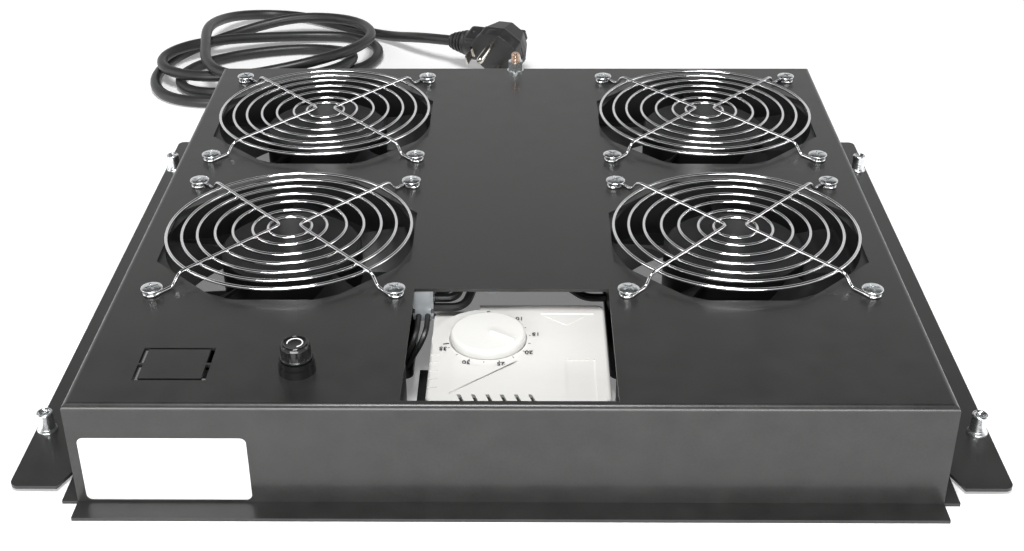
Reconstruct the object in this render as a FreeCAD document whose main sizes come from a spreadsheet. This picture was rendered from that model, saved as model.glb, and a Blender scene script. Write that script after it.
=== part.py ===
"""Roof-mounted fan tray for a 19-inch rack: a folded steel tray that carries four
120 mm axial fans with wire finger guards, a thermostat, a fuse holder and a mains lead.

The frame has +Z up, +X to the right and +Y to the rear. The origin is on the floor
under the middle of the tray. All lengths are in millimetres.
"""
import FreeCAD, Part
import math
import os
import re

import Sketcher

V = FreeCAD.Vector
UP = V(0, 0, 1)

SIZES = (
    ("tray_width", 345, "tray, across"),
    ("tray_depth", 345, "tray, front to rear"),
    ("tray_height", 48, "tray, floor to top face"),
    ("sheet", 1.5, "steel sheet of the tray and its brackets"),
    ("bend_radius", 2.5, "outside radius of the tray's top bends"),
    ("front_flange", 10.5, "foot flange in front and behind"),
    ("side_flange", 6.5, "foot flange at each side"),
    ("wing_width", 30, "wing, from the tray's side to its outer edge"),
    ("wing_length", 330, "wing, front to rear"),
    ("wing_leg", 18, "height of the wing's upright leg"),
    ("wing_chamfer_x", 10.5, "wing's inner corner, cut across"),
    ("wing_chamfer_y", 26, "wing's inner corner, cut lengthwise"),
    ("wing_corner", 3.5, "radius of the wing's outer corners"),
    ("rivet_nut_edge", 5, "rivet nuts, in from the wing's outer edge"),
    ("rivet_nut_y", 127, "rivet nuts, from the middle of the tray to front and rear"),
    ("rivet_nut_body", 7, "rivet nut, shank diameter"),
    ("rivet_nut_bulge", 8.8, "rivet nut, bulge diameter"),
    ("rivet_nut_bulge_height", 1.8, "rivet nut, height of the bulge"),
    ("rivet_nut_height", 9.5, "rivet nut, height over the wing"),
    ("rivet_nut_lip", 0.8, "rivet nut, lip under the wing"),
    ("rivet_nut_bore", 4.2, "rivet nut, bore of its M5 thread"),
    ("fan_size", 119, "fan frame, square side"),
    ("fan_depth", 38, "fan frame, depth"),
    ("fan_corner", 4, "fan frame, corner radius"),
    ("fan_flange", 4.5, "fan frame, thickness of its two flanges"),
    ("fan_bore", 114.6, "fan frame, air duct"),
    ("fan_wall", 1.2, "fan frame, duct wall"),
    ("fan_pitch_x", 206, "fan centres, across"),
    ("fan_pitch_y", 135, "fan centres, front to rear"),
    ("fan_row_y", 31, "middle between the two rows of fans"),
    ("fan_hole_pitch", 105, "fan screw holes, square pitch"),
    ("opening_flats", 114.5, "tray's octagonal openings, across flats"),
    ("motor_base", 30, "fan, radius of the motor plate"),
    ("motor_base_thickness", 4, "fan, motor plate"),
    ("strut_width", 6, "fan, width of the struts"),
    ("strut_height", 7, "fan, height of the struts"),
    ("bearing_tube", 6.5, "fan, radius of the bearing tube"),
    ("bearing_tube_top", 27, "fan, top of the bearing tube"),
    ("bearing_radius", 5, "fan, radius of the bearings"),
    ("bearing_height", 5, "fan, height of each bearing"),
    ("bearing_seat", 2, "fan, bottom of the bearing bore"),
    ("shaft_radius", 2.5, "fan shaft"),
    ("running_fit", 0.05, "radial clearance of what turns in a bore"),
    ("seat_fit", 0.05, "clearance of what sits in a bore"),
    ("hub_radius", 32.5, "impeller hub"),
    ("hub_bottom", 9.5, "impeller, lower edge over the frame's back"),
    ("hub_top", 35.5, "impeller, face of the hub over the frame's back"),
    ("hub_wall", 2, "impeller, wall of the hub"),
    ("hub_edge", 1.5, "impeller, bevel of the hub's face"),
    ("hub_boss", 5.5, "impeller, radius of the boss round the shaft"),
    ("hub_boss_height", 3, "impeller, boss under the hub's face"),
    ("blade_count", 5, "impeller blades"),
    ("blade_tip", 56, "impeller, radius over the blades"),
    ("blade_thickness", 1.8, "impeller blade"),
    ("root_chord", 13, "blade root, half its width"),
    ("root_rise", 10, "blade root, half its rise"),
    ("tip_chord", 27, "blade tip, half its width"),
    ("tip_rise", 8, "blade tip, half its rise"),
    ("blade_camber", 3, "blade, bow of its middle line"),
    ("stator_core", 28, "fan stator, radius of the laminations"),
    ("stator_core_height", 12, "fan stator, stack of laminations"),
    ("stator_winding", 23, "fan stator, radius over the windings"),
    ("stator_winding_height", 20, "fan stator, height over the windings"),
    ("stator_gap", 0.5, "fan stator, gap over the struts"),
    ("stator_poles", 12, "fan stator, flats round it"),
    ("guard_wire", 1.6, "finger guard, wire"),
    ("guard_height", 4.8, "finger guard, rings' middle over the tray"),
    ("guard_apex", 4, "finger guard, apex of each bent arm from the middle"),
    ("guard_bend", 2.4, "finger guard, length of the bend at the apex"),
    ("guard_nose", 0.7, "finger guard, how far the bend cuts the apex short"),
    ("guard_foot", 6, "finger guard, length of wire that lies on the tray at each screw"),
    ("guard_loop", 3.4, "finger guard, screw loop's middle radius"),
    ("guard_weld", 0.3, "finger guard, how far welded wires sink in"),
    ("ring_side", 14, "finger guard, length of a ring's straight sides"),
    ("ring_least", 12, "finger guard, fewest sides of a ring"),
    ("ring_1", 56, "finger guard ring radius"),
    ("ring_2", 49, "finger guard ring radius"),
    ("ring_3", 42, "finger guard ring radius"),
    ("ring_4", 34, "finger guard ring radius"),
    ("ring_5", 26, "finger guard ring radius"),
    ("ring_6", 17, "finger guard ring radius"),
    ("ring_7", 10, "finger guard ring radius"),
    ("screw_head", 4.75, "fan screw, head radius"),
    ("screw_neck", 3.9, "fan screw, radius under the rim"),
    ("screw_step", 1.1, "fan screw, height of the part under the rim"),
    ("screw_rim", 0.9, "fan screw, height of the rim"),
    ("screw_shank", 2.3, "fan screw, shank radius"),
    ("screw_length", 10, "fan screw, shank below the wire loop"),
    ("screw_sides", 12, "fan screw, sides of its plain solid"),
    ("screw_hole", 2.45, "screw holes in the tray and the fan flanges"),
    ("window_size", 84.5, "thermostat window, square side"),
    ("window_y", -126.5, "thermostat window, middle"),
    ("blank_x", -134.4, "switch blank, middle"),
    ("blank_y", -143.4, "switch blank, middle"),
    ("blank_width", 29.2, "switch blank, over its slots"),
    ("blank_depth", 23.4, "switch blank, over its slots"),
    ("blank_slot_x", 2, "switch blank, side slots"),
    ("blank_slot_y", 1.3, "switch blank, front and rear slots"),
    ("blank_tab", 0.6, "switch blank, half the width of its two tabs"),
    ("thermostat_x", 3.4, "thermostat, middle"),
    ("thermostat_y", -114.7, "thermostat, middle"),
    ("thermostat_size", 75, "thermostat, square side"),
    ("thermostat_drop", 12, "thermostat's face below the tray's top face"),
    ("thermostat_height", 28, "thermostat, base to face"),
    ("thermostat_base", 3, "thermostat, base plate"),
    ("thermostat_wall", 2, "thermostat, wall of the cover"),
    ("thermostat_corner", 4, "thermostat, corner radius"),
    ("cover_edge", 1.5, "thermostat, rounding of the cover's face"),
    ("dial_x", -13.2, "thermostat, dial from its middle"),
    ("dial_y", 9, "thermostat, dial from its middle"),
    ("dial_turret", 24, "thermostat, radius of the turret round the dial"),
    ("corner_step", 4, "thermostat, step down at the corner behind the dial"),
    ("corner_step_x", 20, "thermostat, width of that step"),
    ("dial_radius", 16.2, "thermostat dial"),
    ("dial_recess", 1.2, "thermostat dial, recess in the cover"),
    ("dial_gap", 0.4, "thermostat dial, gap round and under it"),
    ("dial_skirt", 3, "thermostat dial, height of the skirt"),
    ("dial_cap", 2, "thermostat dial, height of the tapered cap"),
    ("dial_cap_radius", 14, "thermostat dial, radius of its face"),
    ("pointer_width", 2.4, "thermostat dial, raised pointer"),
    ("pointer_height", 0.9, "thermostat dial, raised pointer"),
    ("pointer_angle", -35, "thermostat dial, way the pointer faces"),
    ("dial_stem", 3, "thermostat dial, stem radius"),
    ("dial_stem_foot", 8, "thermostat dial, stem's foot over the base"),
    ("switch_width", 24, "thermostat switch block"),
    ("switch_depth", 20, "thermostat switch block"),
    ("switch_height", 11, "thermostat switch block"),
    ("bimetal_radius", 9, "thermostat, coil of the bimetal"),
    ("bimetal_strip", 0.8, "thermostat, bimetal thickness"),
    ("bimetal_height", 8, "thermostat, bimetal width"),
    ("bimetal_sweep", 300, "thermostat, bimetal's angle"),
    ("bimetal_x", 18, "thermostat, bimetal from its middle"),
    ("bimetal_y", 12, "thermostat, bimetal from its middle"),
    ("vent_count", 6, "thermostat, slots along the front"),
    ("vent_pitch", 5.75, "thermostat, slot pitch"),
    ("vent_width", 1.6, "thermostat, slot width"),
    ("vent_length", 5, "thermostat, slot length"),
    ("vent_lean", 2.2, "thermostat, sideways lean of a slot"),
    ("vent_start", -25, "thermostat, first slot from its middle"),
    ("notch_width", 2, "thermostat, notches along the rear"),
    ("notch_pitch", 5.85, "thermostat, notch pitch"),
    ("notch_depth", 1.2, "thermostat, notch depth"),
    ("notch_start", -4.6, "thermostat, first notch from its middle"),
    ("panel_x", 25.5, "thermostat, middle of the sunk panel"),
    ("panel_y", -22, "thermostat, middle of the sunk panel"),
    ("panel_width", 12.5, "thermostat, sunk panel"),
    ("panel_length", 31, "thermostat, sunk panel"),
    ("panel_depth", 0.6, "thermostat, sunk panel"),
    ("bracket_half", 46.5, "thermostat bracket, half its width"),
    ("bracket_front", -150, "thermostat bracket, front edge"),
    ("bracket_rear", -88, "thermostat bracket, rear edge of its tongue"),
    ("bracket_leg_rear", -112, "thermostat bracket, rear edge of its legs"),
    ("bracket_tongue", 41, "thermostat bracket, half the tongue's width"),
    ("bracket_foot", 12, "thermostat bracket, feet under the tray"),
    ("base_screw_x", 28, "thermostat, base screws from its middle"),
    ("base_screw_y", -8, "thermostat, base screws from its middle"),
    ("base_screw_radius", 1.7, "thermostat, base screws"),
    ("base_screw_head", 3.4, "thermostat, head radius of the base screws"),
    ("base_screw_rise", 2, "thermostat, head height of the base screws"),
    ("strip_x", -38.9, "terminal strip, middle"),
    ("strip_front", -84, "terminal strip, front face"),
    ("strip_width", 9, "terminal strip, across"),
    ("strip_pole", 8, "terminal strip, length of one pole"),
    ("strip_poles", 3, "terminal strip, poles"),
    ("strip_height", 15, "terminal strip, height"),
    ("strip_waist", 1, "terminal strip, web between the poles"),
    ("strip_bore", 3.2, "terminal strip, bore of each clamp"),
    ("clamp_radius", 2.9, "terminal clamps, radius"),
    ("clamp_length", 7.6, "terminal clamps, length"),
    ("clamp_drop", 12, "leads at the terminal clamps, below the tray's top face"),
    ("splice_radius", 4.3, "splice cap, radius"),
    ("splice_length", 15, "splice cap, length"),
    ("splice_x", -9, "splice cap, across"),
    ("splice_y", -66, "splice cap, front end"),
    ("lead_radius", 2, "fan lead"),
    ("core_radius", 1.3, "single core"),
    ("lead_sides", 8, "sides of the leads under the tray"),
    ("loom_top_drop", 8.1, "upper leads in the loom, below the tray's top face"),
    ("loom_low_drop", 13.7, "mains lead in the loom, below the tray's top face"),
    ("earth_drop", 13.6, "earth lead, below the tray's top face"),
    ("tie_half", 10, "cable tie, half its inner width"),
    ("tie_x", -17, "cable ties, middle"),
    ("tie_drop", 17.4, "cable tie, inner underside below the tray's top face"),
    ("tie_band", 1.2, "cable tie, band thickness"),
    ("tie_width", 3.6, "cable tie, band width"),
    ("tie_pad", 20, "tie mount, square side"),
    ("tie_pad_height", 3.2, "tie mount, height"),
    ("fuse_x", -84.5, "fuse holder"),
    ("fuse_y", -148, "fuse holder"),
    ("fuse_flange", 7.4, "fuse holder, flange radius"),
    ("fuse_flange_height", 3.4, "fuse holder, flange height"),
    ("fuse_collar", 6.9, "fuse holder, collar radius"),
    ("fuse_collar_height", 2.4, "fuse holder, collar height"),
    ("fuse_barrel", 6.2, "fuse holder, barrel radius"),
    ("fuse_barrel_depth", 25, "fuse holder, barrel below the tray's top face"),
    ("fuse_bore", 4.2, "fuse holder, bore radius"),
    ("fuse_bore_floor", 3, "fuse holder, floor of the bore"),
    ("fuse_nut_flats", 17, "fuse holder nut, across flats"),
    ("fuse_nut_height", 3.5, "fuse holder nut"),
    ("fuse_tag_width", 4, "fuse holder, solder tags"),
    ("fuse_tag_height", 7, "fuse holder, solder tags"),
    ("fuse_tag_sheet", 0.8, "fuse holder, solder tags"),
    ("fuse_tag_place", 3, "fuse holder, tags from the middle"),
    ("cap_radius", 6.4, "fuse cap"),
    ("cap_height", 7.2, "fuse cap"),
    ("cap_edge", 0.8, "fuse cap, bevel"),
    ("cap_gap", 0.3, "fuse cap, gap over the collar"),
    ("cap_stem", 4.12, "fuse cap, stem radius"),
    ("cap_stem_length", 12, "fuse cap, stem"),
    ("cap_grip", 2.7, "fuse cap, radius of the bore that grips the fuse"),
    ("cap_grip_depth", 6, "fuse cap, depth of that bore"),
    ("fuse_length", 20, "fuse link, length"),
    ("fuse_glass", 2.5, "fuse link, glass radius"),
    ("fuse_end", 2.65, "fuse link, end cap radius"),
    ("fuse_end_length", 5, "fuse link, end cap"),
    ("stud_y", 166.5, "earth stud"),
    ("stud_radius", 2.3, "earth stud, free end"),
    ("stud_shank", 2.5, "earth stud, shank in the panel and the nuts"),
    ("stud_over", 11.5, "earth stud over the tray"),
    ("stud_under", 9, "earth stud under the tray"),
    ("nut_flats", 8, "earth stud nuts, across flats"),
    ("nut_height", 4, "earth stud nuts"),
    ("washer_radius", 4.8, "earth stud washers"),
    ("washer_height", 1, "earth stud washers"),
    ("inner_washer", 3.4, "earth stud, radius of the inner washer"),
    ("relief_x", -25, "strain relief"),
    ("relief_z", 24, "strain relief"),
    ("relief_neck", 7, "strain relief, radius in the wall"),
    ("relief_flange", 9, "strain relief, flange radius"),
    ("relief_flange_length", 3, "strain relief, flange"),
    ("relief_root", 6.4, "strain relief, radius at the flange"),
    ("relief_tip", 4.6, "strain relief, radius at the tip"),
    ("relief_tail", 20, "strain relief, tapered tail"),
    ("relief_lock", 8, "strain relief, radius of the inner lock"),
    ("relief_lock_length", 5, "strain relief, inner lock"),
    ("relief_fit", 0.1, "strain relief, clearance in the rear wall"),
    ("cord_radius", 3.5, "mains lead"),
    ("cord_sides", 12, "sides of the free lead's plain solids"),
    ("coil_x", -168, "coil of the mains lead, middle"),
    ("coil_y", 302, "coil of the mains lead, middle"),
    ("coil_half_x", 75, "coil of the mains lead, half its width"),
    ("coil_half_y", 90, "coil of the mains lead, half its depth"),
    ("coil_hole_x", 34, "coil of the mains lead, half its hole's width"),
    ("coil_hole_y", 40, "coil of the mains lead, half its hole's depth"),
    ("coil_height", 22, "coil of the mains lead, height"),
    ("plug_x", -14, "plug, middle of its face"),
    ("plug_y", 268.5, "plug, middle of its face"),
    ("plug_yaw", -28, "plug, turned on the floor"),
    ("plug_roll", -5, "plug, its lead's side hanging down"),
    ("plug_radius", 18.5, "plug, face radius"),
    ("plug_face_depth", 9, "plug, depth of the round face"),
    ("plug_back_depth", 13, "plug, depth of the tapered back"),
    ("plug_back_radius", 13, "plug, radius of its back"),
    ("plug_neck_radius", 8.5, "plug, radius of the neck"),
    ("plug_neck_back", 10, "plug, neck's middle behind the face"),
    ("plug_neck_end", 27, "plug, end of the neck from its middle"),
    ("plug_relief_length", 13, "plug, strain relief"),
    ("plug_relief_tip", 5, "plug, strain relief radius at its tip"),
    ("plug_grip_width", 22, "plug, grip bar on its back"),
    ("plug_grip_height", 7, "plug, grip bar on its back"),
    ("plug_grip_depth", 4, "plug, grip bar on its back"),
    ("pin_radius", 2.4, "plug pins"),
    ("pin_length", 19, "plug pins"),
    ("pin_pitch", 19, "plug pins, between middles"),
    ("clip_width", 7, "plug, earth clips"),
    ("clip_height", 1.2, "plug, earth clips"),
    ("clip_length", 8, "plug, earth clips"),
    ("label_x", -135.5, "front label, middle"),
    ("label_z", 17.6, "front label, middle"),
    ("label_width", 66, "front label"),
    ("label_height", 30, "front label"),
    ("label_sheet", 0.2, "front label"),
    ("label_corner", 2.5, "front label, corner radius"),
)
NAMES = {name for name, _, _ in SIZES}
WORD = re.compile(r"[a-z][a-z0-9_]*")

doc = FreeCAD.newDocument("rack_fan_tray")
sheet = doc.addObject("Spreadsheet::Sheet", "Sizes")
for row, (name, value, note) in enumerate(SIZES, 1):
    sheet.set(f"A{row}", note)
    sheet.set(f"B{row}", str(value))
    sheet.setAlias(f"B{row}", name)
doc.recompute()

NODES = []


# ---------------------------------------------------------------- sizes and formulas

def formula(text):
    """The text as an expression, with each size read from the sheet."""
    return WORD.sub(lambda m: "Sizes." + m.group() if m.group() in NAMES else m.group(), text)


def number(text):
    """What a formula comes to, for shapes and first guesses made in code."""
    plain = WORD.sub(lambda m: f"({sheet.get(m.group())})" if m.group() in NAMES else m.group(), text)
    return FreeCAD.Units.Quantity(plain).Value


def bind(thing, **formulas):
    for prop, text in formulas.items():
        thing.setExpression(prop, formula(text))
    return thing


def place(thing, x="0", y="0", z="0"):
    for axis, text in zip("xyz", (x, y, z)):
        thing.setExpression("Placement.Base." + axis, formula(text))
    return thing


def turn(thing, axis, degrees):
    thing.Placement.Rotation = FreeCAD.Rotation(axis, degrees)
    return thing


# ---------------------------------------------------------------- primitives

def box(name, length, width, height, x, y, z="0"):
    """A block whose middle is at x and y and whose underside is at z."""
    thing = doc.addObject("Part::Box", name)
    bind(thing, Length=length, Width=width, Height=height)
    return place(thing, f"{x} - ({length}) / 2", f"{y} - ({width}) / 2", z)


def cylinder(name, radius, height, x="0", y="0", z="0"):
    thing = doc.addObject("Part::Cylinder", name)
    return place(bind(thing, Radius=radius, Height=height), x, y, z)


def cone(name, low, high, height, x="0", y="0", z="0"):
    thing = doc.addObject("Part::Cone", name)
    return place(bind(thing, Radius1=low, Radius2=high, Height=height), x, y, z)


def prism(name, sides, radius, height, x="0", y="0", z="0"):
    thing = doc.addObject("Part::Prism", name)
    return place(bind(thing, Polygon=sides, Circumradius=radius, Height=height), x, y, z)


def hexagon(name, flats, height, x="0", y="0", z="0"):
    return prism(name, "6", f"({flats}) / sqrt(3)", height, x, y, z)


def fuse(name, *parts):
    thing = doc.addObject("Part::MultiFuse", name)
    thing.Shapes = list(parts)
    return thing


def cut(name, base, *tools):
    tool = tools[0] if len(tools) == 1 else group(name + "_tools", *tools)
    thing = doc.addObject("Part::Cut", name)
    thing.Base, thing.Tool = base, tool
    return thing


def group(name, *parts):
    """Separate solids that go together."""
    thing = doc.addObject("Part::Compound", name)
    thing.Links = list(parts)
    return thing


def made(name, shape):
    """A piece whose shape is worked out in code."""
    thing = doc.addObject("Part::Feature", name)
    thing.Shape = shape
    return thing


def node(name, thing):
    """Names a finished piece."""
    thing.Label = name
    NODES.append(thing)
    return thing


# ---------------------------------------------------------------- bodies and sketches

def body(name):
    return doc.addObject("PartDesign::Body", name + "_body")


def sketch(owner, name, level="0", role="XY_Plane"):
    """A sketch on one of the body's origin planes, moved along that plane's normal."""
    thing = owner.newObject("Sketcher::SketchObject", f"{owner.Name}_{name}")
    plane = next(f for f in owner.Origin.OriginFeatures if f.Role == role)
    thing.AttachmentSupport = [(plane, "")]
    thing.MapMode = "FlatFace"
    thing.setExpression("AttachmentOffset.Base.z", formula(level))
    return thing


def constrain(thing, kind, point, text):
    """Holds one coordinate of a point at a formula."""
    index = thing.addConstraint(Sketcher.Constraint(kind, -1, 1, *point, number(text)))
    thing.setExpression(f"Constraints[{index}]", formula(text))


def outline(thing, corners):
    """A closed run of straight lines through corners given as pairs of formulas."""
    points = [V(number(x), number(y), 0) for x, y in corners]
    first = thing.GeometryCount
    for here, there in zip(points, points[1:] + points[:1]):
        thing.addGeometry(Part.LineSegment(here, there))
    count = len(corners)
    for i, (x, y) in enumerate(corners):
        line = first + i
        thing.addConstraint(Sketcher.Constraint("Coincident", line, 2, first + (i + 1) % count, 1))
        constrain(thing, "DistanceX", (line, 1), x)
        constrain(thing, "DistanceY", (line, 1), y)
    return thing


def rectangle(thing, x0, x1, y0, y1):
    return outline(thing, ((x0, y0), (x1, y0), (x1, y1), (x0, y1)))


def middle_square(thing, half):
    return rectangle(thing, f"-({half})", half, f"-({half})", half)


def circle(thing, radius, x="0", y="0"):
    index = thing.addGeometry(Part.Circle(V(number(x), number(y), 0), UP, number(radius)))
    constrain(thing, "DistanceX", (index, 3), x)
    constrain(thing, "DistanceY", (index, 3), y)
    held = thing.addConstraint(Sketcher.Constraint("Radius", index, number(radius)))
    thing.setExpression(f"Constraints[{held}]", formula(radius))
    return thing


def pad(owner, profile, length, backwards=False):
    thing = owner.newObject("PartDesign::Pad", profile.Name + "_pad")
    thing.Profile = profile
    thing.Reversed = backwards
    profile.Visibility = False
    return bind(thing, Length=length)


def pocket(owner, profile, length, backwards=False):
    """A pocket, which has to take something away."""
    doc.recompute()
    before = owner.Shape.Volume
    thing = owner.newObject("PartDesign::Pocket", profile.Name + "_pocket")
    thing.Profile = profile
    thing.Reversed = backwards
    bind(thing, Length=length)
    doc.recompute()
    if not owner.Shape.Volume < before:
        raise ValueError(f"{thing.Name} cuts nothing")
    return thing


def picked(base, chosen):
    """The edges of a feature that a test picks, as the feature and their names."""
    doc.recompute()
    return base, [f"Edge{i}" for i, edge in enumerate(base.Shape.Edges, 1) if chosen(edge)]


def fillet(owner, base, radius, chosen):
    thing = owner.newObject("PartDesign::Fillet", base.Name + "_fillet")
    thing.Base = picked(base, chosen)
    return bind(thing, Radius=radius)


def chamfer(owner, base, size, chosen):
    thing = owner.newObject("PartDesign::Chamfer", base.Name + "_chamfer")
    thing.Base = picked(base, chosen)
    return bind(thing, Size=size)


def row_of(owner, feature, axis, length, count):
    """Repeats a feature along an axis of the body."""
    thing = owner.newObject("PartDesign::LinearPattern", feature.Name + "_row")
    thing.Originals = [feature]
    thing.Direction = (origin_axis(owner, axis), [""])
    bind(thing, Length=length, Occurrences=count)
    owner.Tip = thing
    return thing


def ring_of(owner, feature, count):
    """Repeats a feature round the body's Z axis."""
    thing = owner.newObject("PartDesign::PolarPattern", feature.Name + "_ring")
    thing.Originals = [feature]
    thing.Axis = (origin_axis(owner, "Z_Axis"), [""])
    thing.Angle = 360
    bind(thing, Occurrences=count)
    owner.Tip = thing
    return thing


def origin_axis(owner, role):
    return next(f for f in owner.Origin.OriginFeatures if f.Role == role)


def upright(edge):
    """An edge that stands along Z."""
    low, high = edge.BoundBox.ZMin, edge.BoundBox.ZMax
    return high - low > edge.BoundBox.XLength + edge.BoundBox.YLength


def level_at(text):
    """Picks the edges that lie flat at a height."""
    height = number(text)
    return lambda edge: abs(edge.BoundBox.ZMin - height) + abs(edge.BoundBox.ZMax - height) < 0.001


# ---------------------------------------------------------------- bent wire and leads

def rounded_path(points, share=0.45):
    """Straight runs joined by tangent arcs, each as large as its two runs allow."""
    edges = []
    radii = []
    start = points[0]
    for before, corner, after in zip(points, points[1:], points[2:]):
        incoming = (corner - before).normalize()
        outgoing = (after - corner).normalize()
        half_turn = incoming.getAngle(outgoing) / 2
        trim = share * min((corner - before).Length, (after - corner).Length)
        radius = trim / math.tan(half_turn)
        inward = (outgoing - incoming).normalize()
        heart = corner + inward * (radius / math.cos(half_turn))
        entry = corner - incoming * trim
        leave = corner + outgoing * trim
        edges.append(Part.LineSegment(start, entry).toShape())
        edges.append(Part.Arc(entry, heart - inward * radius, leave).toShape())
        radii.append(radius)
        start = leave
    edges.append(Part.LineSegment(start, points[-1]).toShape())
    return Part.Wire(edges), radii


def tube(points, radius, sides=0):
    """A lead along a rounded path, round or of so many sides, with its radii and its exact volume."""
    path, radii = rounded_path(points)
    rim, area = Part.Circle(points[0], points[1] - points[0], radius).toShape(), math.pi * radius ** 2
    if sides:
        corners = rim.discretize(sides + 1)
        rim, area = Part.makePolygon(corners), sides / 2 * radius ** 2 * math.sin(2 * math.pi / sides)
    shape = path.makePipeShell([Part.Wire(rim)], True, False)
    return shape, radii, area * path.Length


# ---------------------------------------------------------------- folded tray

FANS = (
    ("front_left", -1, -1),
    ("front_right", 1, -1),
    ("rear_left", -1, 1),
    ("rear_right", 1, 1),
)
SIDES = (("left", -1), ("right", 1))
CORNERS = ((-1, -1), (1, -1), (1, 1), (-1, 1))
UNDERSIDE = "tray_height - sheet"
WING_REACH = "(tray_width / 2 + wing_width)"
RIVET_NUT_X = "(tray_width / 2 + wing_width - rivet_nut_edge)"
CLAMP_LEVEL = "(tray_height - clamp_drop)"
EARTH_LEVEL = "(tray_height - earth_drop)"
TIE_LOW = "(tray_height - tie_drop)"
FAN_BACK = "tray_height - sheet - fan_depth"


def fan_x(sign):
    return f"{sign} * fan_pitch_x / 2"


def fan_y(sign):
    return f"fan_row_y + {sign} * fan_pitch_y / 2"


def octagon(thing, x, y, flats):
    """A regular octagon with flats along X and Y."""
    far = f"({flats}) / 2"
    near = f"({flats}) / 2 * (sqrt(2) - 1)"
    eighths = ((far, near, 1, 1), (near, far, 1, 1), (near, far, -1, 1), (far, near, -1, 1),
               (far, near, -1, -1), (near, far, -1, -1), (near, far, 1, -1), (far, near, 1, -1))
    return outline(thing, [(f"{x} + {sx} * ({a})", f"{y} + {sy} * ({b})") for a, b, sx, sy in eighths])


def housing():
    tray = body("housing")
    plan = sketch(tray, "plan")
    rectangle(plan, "-tray_width / 2", "tray_width / 2", "-tray_depth / 2", "tray_depth / 2")
    block = pad(tray, plan, "tray_height")
    outer_bends = fillet(tray, block, "bend_radius", level_at("tray_height"))
    hollow = sketch(tray, "hollow")
    rectangle(hollow, "-tray_width / 2 + sheet", "tray_width / 2 - sheet",
              "-tray_depth / 2 + sheet", "tray_depth / 2 - sheet")
    inside = pocket(tray, hollow, UNDERSIDE, backwards=True)
    fillet(tray, inside, "bend_radius - sheet", level_at(UNDERSIDE))
    for name, sign in SIDES:
        foot = sketch(tray, name + "_foot")
        outward = (f"{sign} * (tray_width / 2 - sheet)", f"{sign} * (tray_width / 2 + side_flange)")
        rectangle(foot, *outward, "-tray_depth / 2", "tray_depth / 2")
        pad(tray, foot, "sheet")
    for name, sign in (("front", -1), ("rear", 1)):
        foot = sketch(tray, name + "_foot")
        outward = (f"{sign} * (tray_depth / 2 - sheet)", f"{sign} * (tray_depth / 2 + front_flange)")
        rectangle(foot, "-tray_width / 2", "tray_width / 2", *outward)
        pad(tray, foot, "sheet")
    air = sketch(tray, "air", "tray_height")
    for _, sx, sy in FANS:
        octagon(air, fan_x(sx), fan_y(sy), "opening_flats")
        for cx, cy in CORNERS:
            circle(air, "screw_hole", f"{fan_x(sx)} + {cx} * fan_hole_pitch / 2",
                   f"{fan_y(sy)} + {cy} * fan_hole_pitch / 2")
    pocket(tray, air, "sheet")
    service = sketch(tray, "service", "tray_height")
    rectangle(service, "-window_size / 2", "window_size / 2",
              "window_y - window_size / 2", "window_y + window_size / 2")
    circle(service, "fuse_barrel + seat_fit", "fuse_x", "fuse_y")
    circle(service, "stud_shank + seat_fit", "0", "stud_y")
    for sign in (-1, 1):
        blank_slot(service, sign)
    pocket(tray, service, "sheet")
    cord_hole = sketch(tray, "cord_hole", "-tray_depth / 2", "XZ_Plane")
    circle(cord_hole, "relief_neck + relief_fit", "relief_x", "relief_z")
    pocket(tray, cord_hole, "sheet", backwards=True)
    return node("housing_pan", tray)


def blank_slot(thing, sign):
    """One of the two C-shaped slots round the switch blank, front or rear of its tabs."""
    wide, narrow = "blank_width / 2", "(blank_width / 2 - blank_slot_x)"
    near, far, deep = "blank_tab", "(blank_depth / 2 - blank_slot_y)", "blank_depth / 2"
    steps = ((f"-{wide}", near), (f"-{wide}", deep), (wide, deep), (wide, near),
             (narrow, near), (narrow, far), (f"-{narrow}", far), (f"-{narrow}", near))
    outline(thing, [(f"blank_x + {x}", f"blank_y + {sign} * {y}") for x, y in steps])


def wing(side, sign):
    """An angle bracket along one side wall, standing on the tray's foot flange."""
    plate = body("wing_" + side)
    wall = f"{sign} * tray_width / 2"
    edge = f"{sign} * {WING_REACH}"
    cut_x = f"{sign} * (tray_width / 2 + wing_chamfer_x)"
    end, cut_y = "wing_length / 2", "(wing_length / 2 - wing_chamfer_y)"
    plan = sketch(plate, "plan", "sheet")
    outline(plan, ((wall, f"-{cut_y}"), (cut_x, f"-{end}"), (edge, f"-{end}"),
                   (edge, end), (cut_x, end), (wall, cut_y)))
    flat = pad(plate, plan, "sheet")
    reach = number(WING_REACH)
    rounded = fillet(plate, flat, "wing_corner",
                     lambda edge: upright(edge) and abs(abs(edge.CenterOfMass.x) - reach) < 0.001)
    leg = sketch(plate, "leg", "sheet")
    rectangle(leg, wall, f"{sign} * (tray_width / 2 + sheet)", f"-{cut_y}", cut_y)
    pad(plate, leg, "wing_leg")
    holes = sketch(plate, "holes", "2 * sheet")
    for front in (-1, 1):
        circle(holes, "rivet_nut_body / 2 + seat_fit", f"{sign} * {RIVET_NUT_X}", f"{front} * rivet_nut_y")
    pocket(plate, holes, "sheet")
    return node("wing_" + side, plate)


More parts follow.
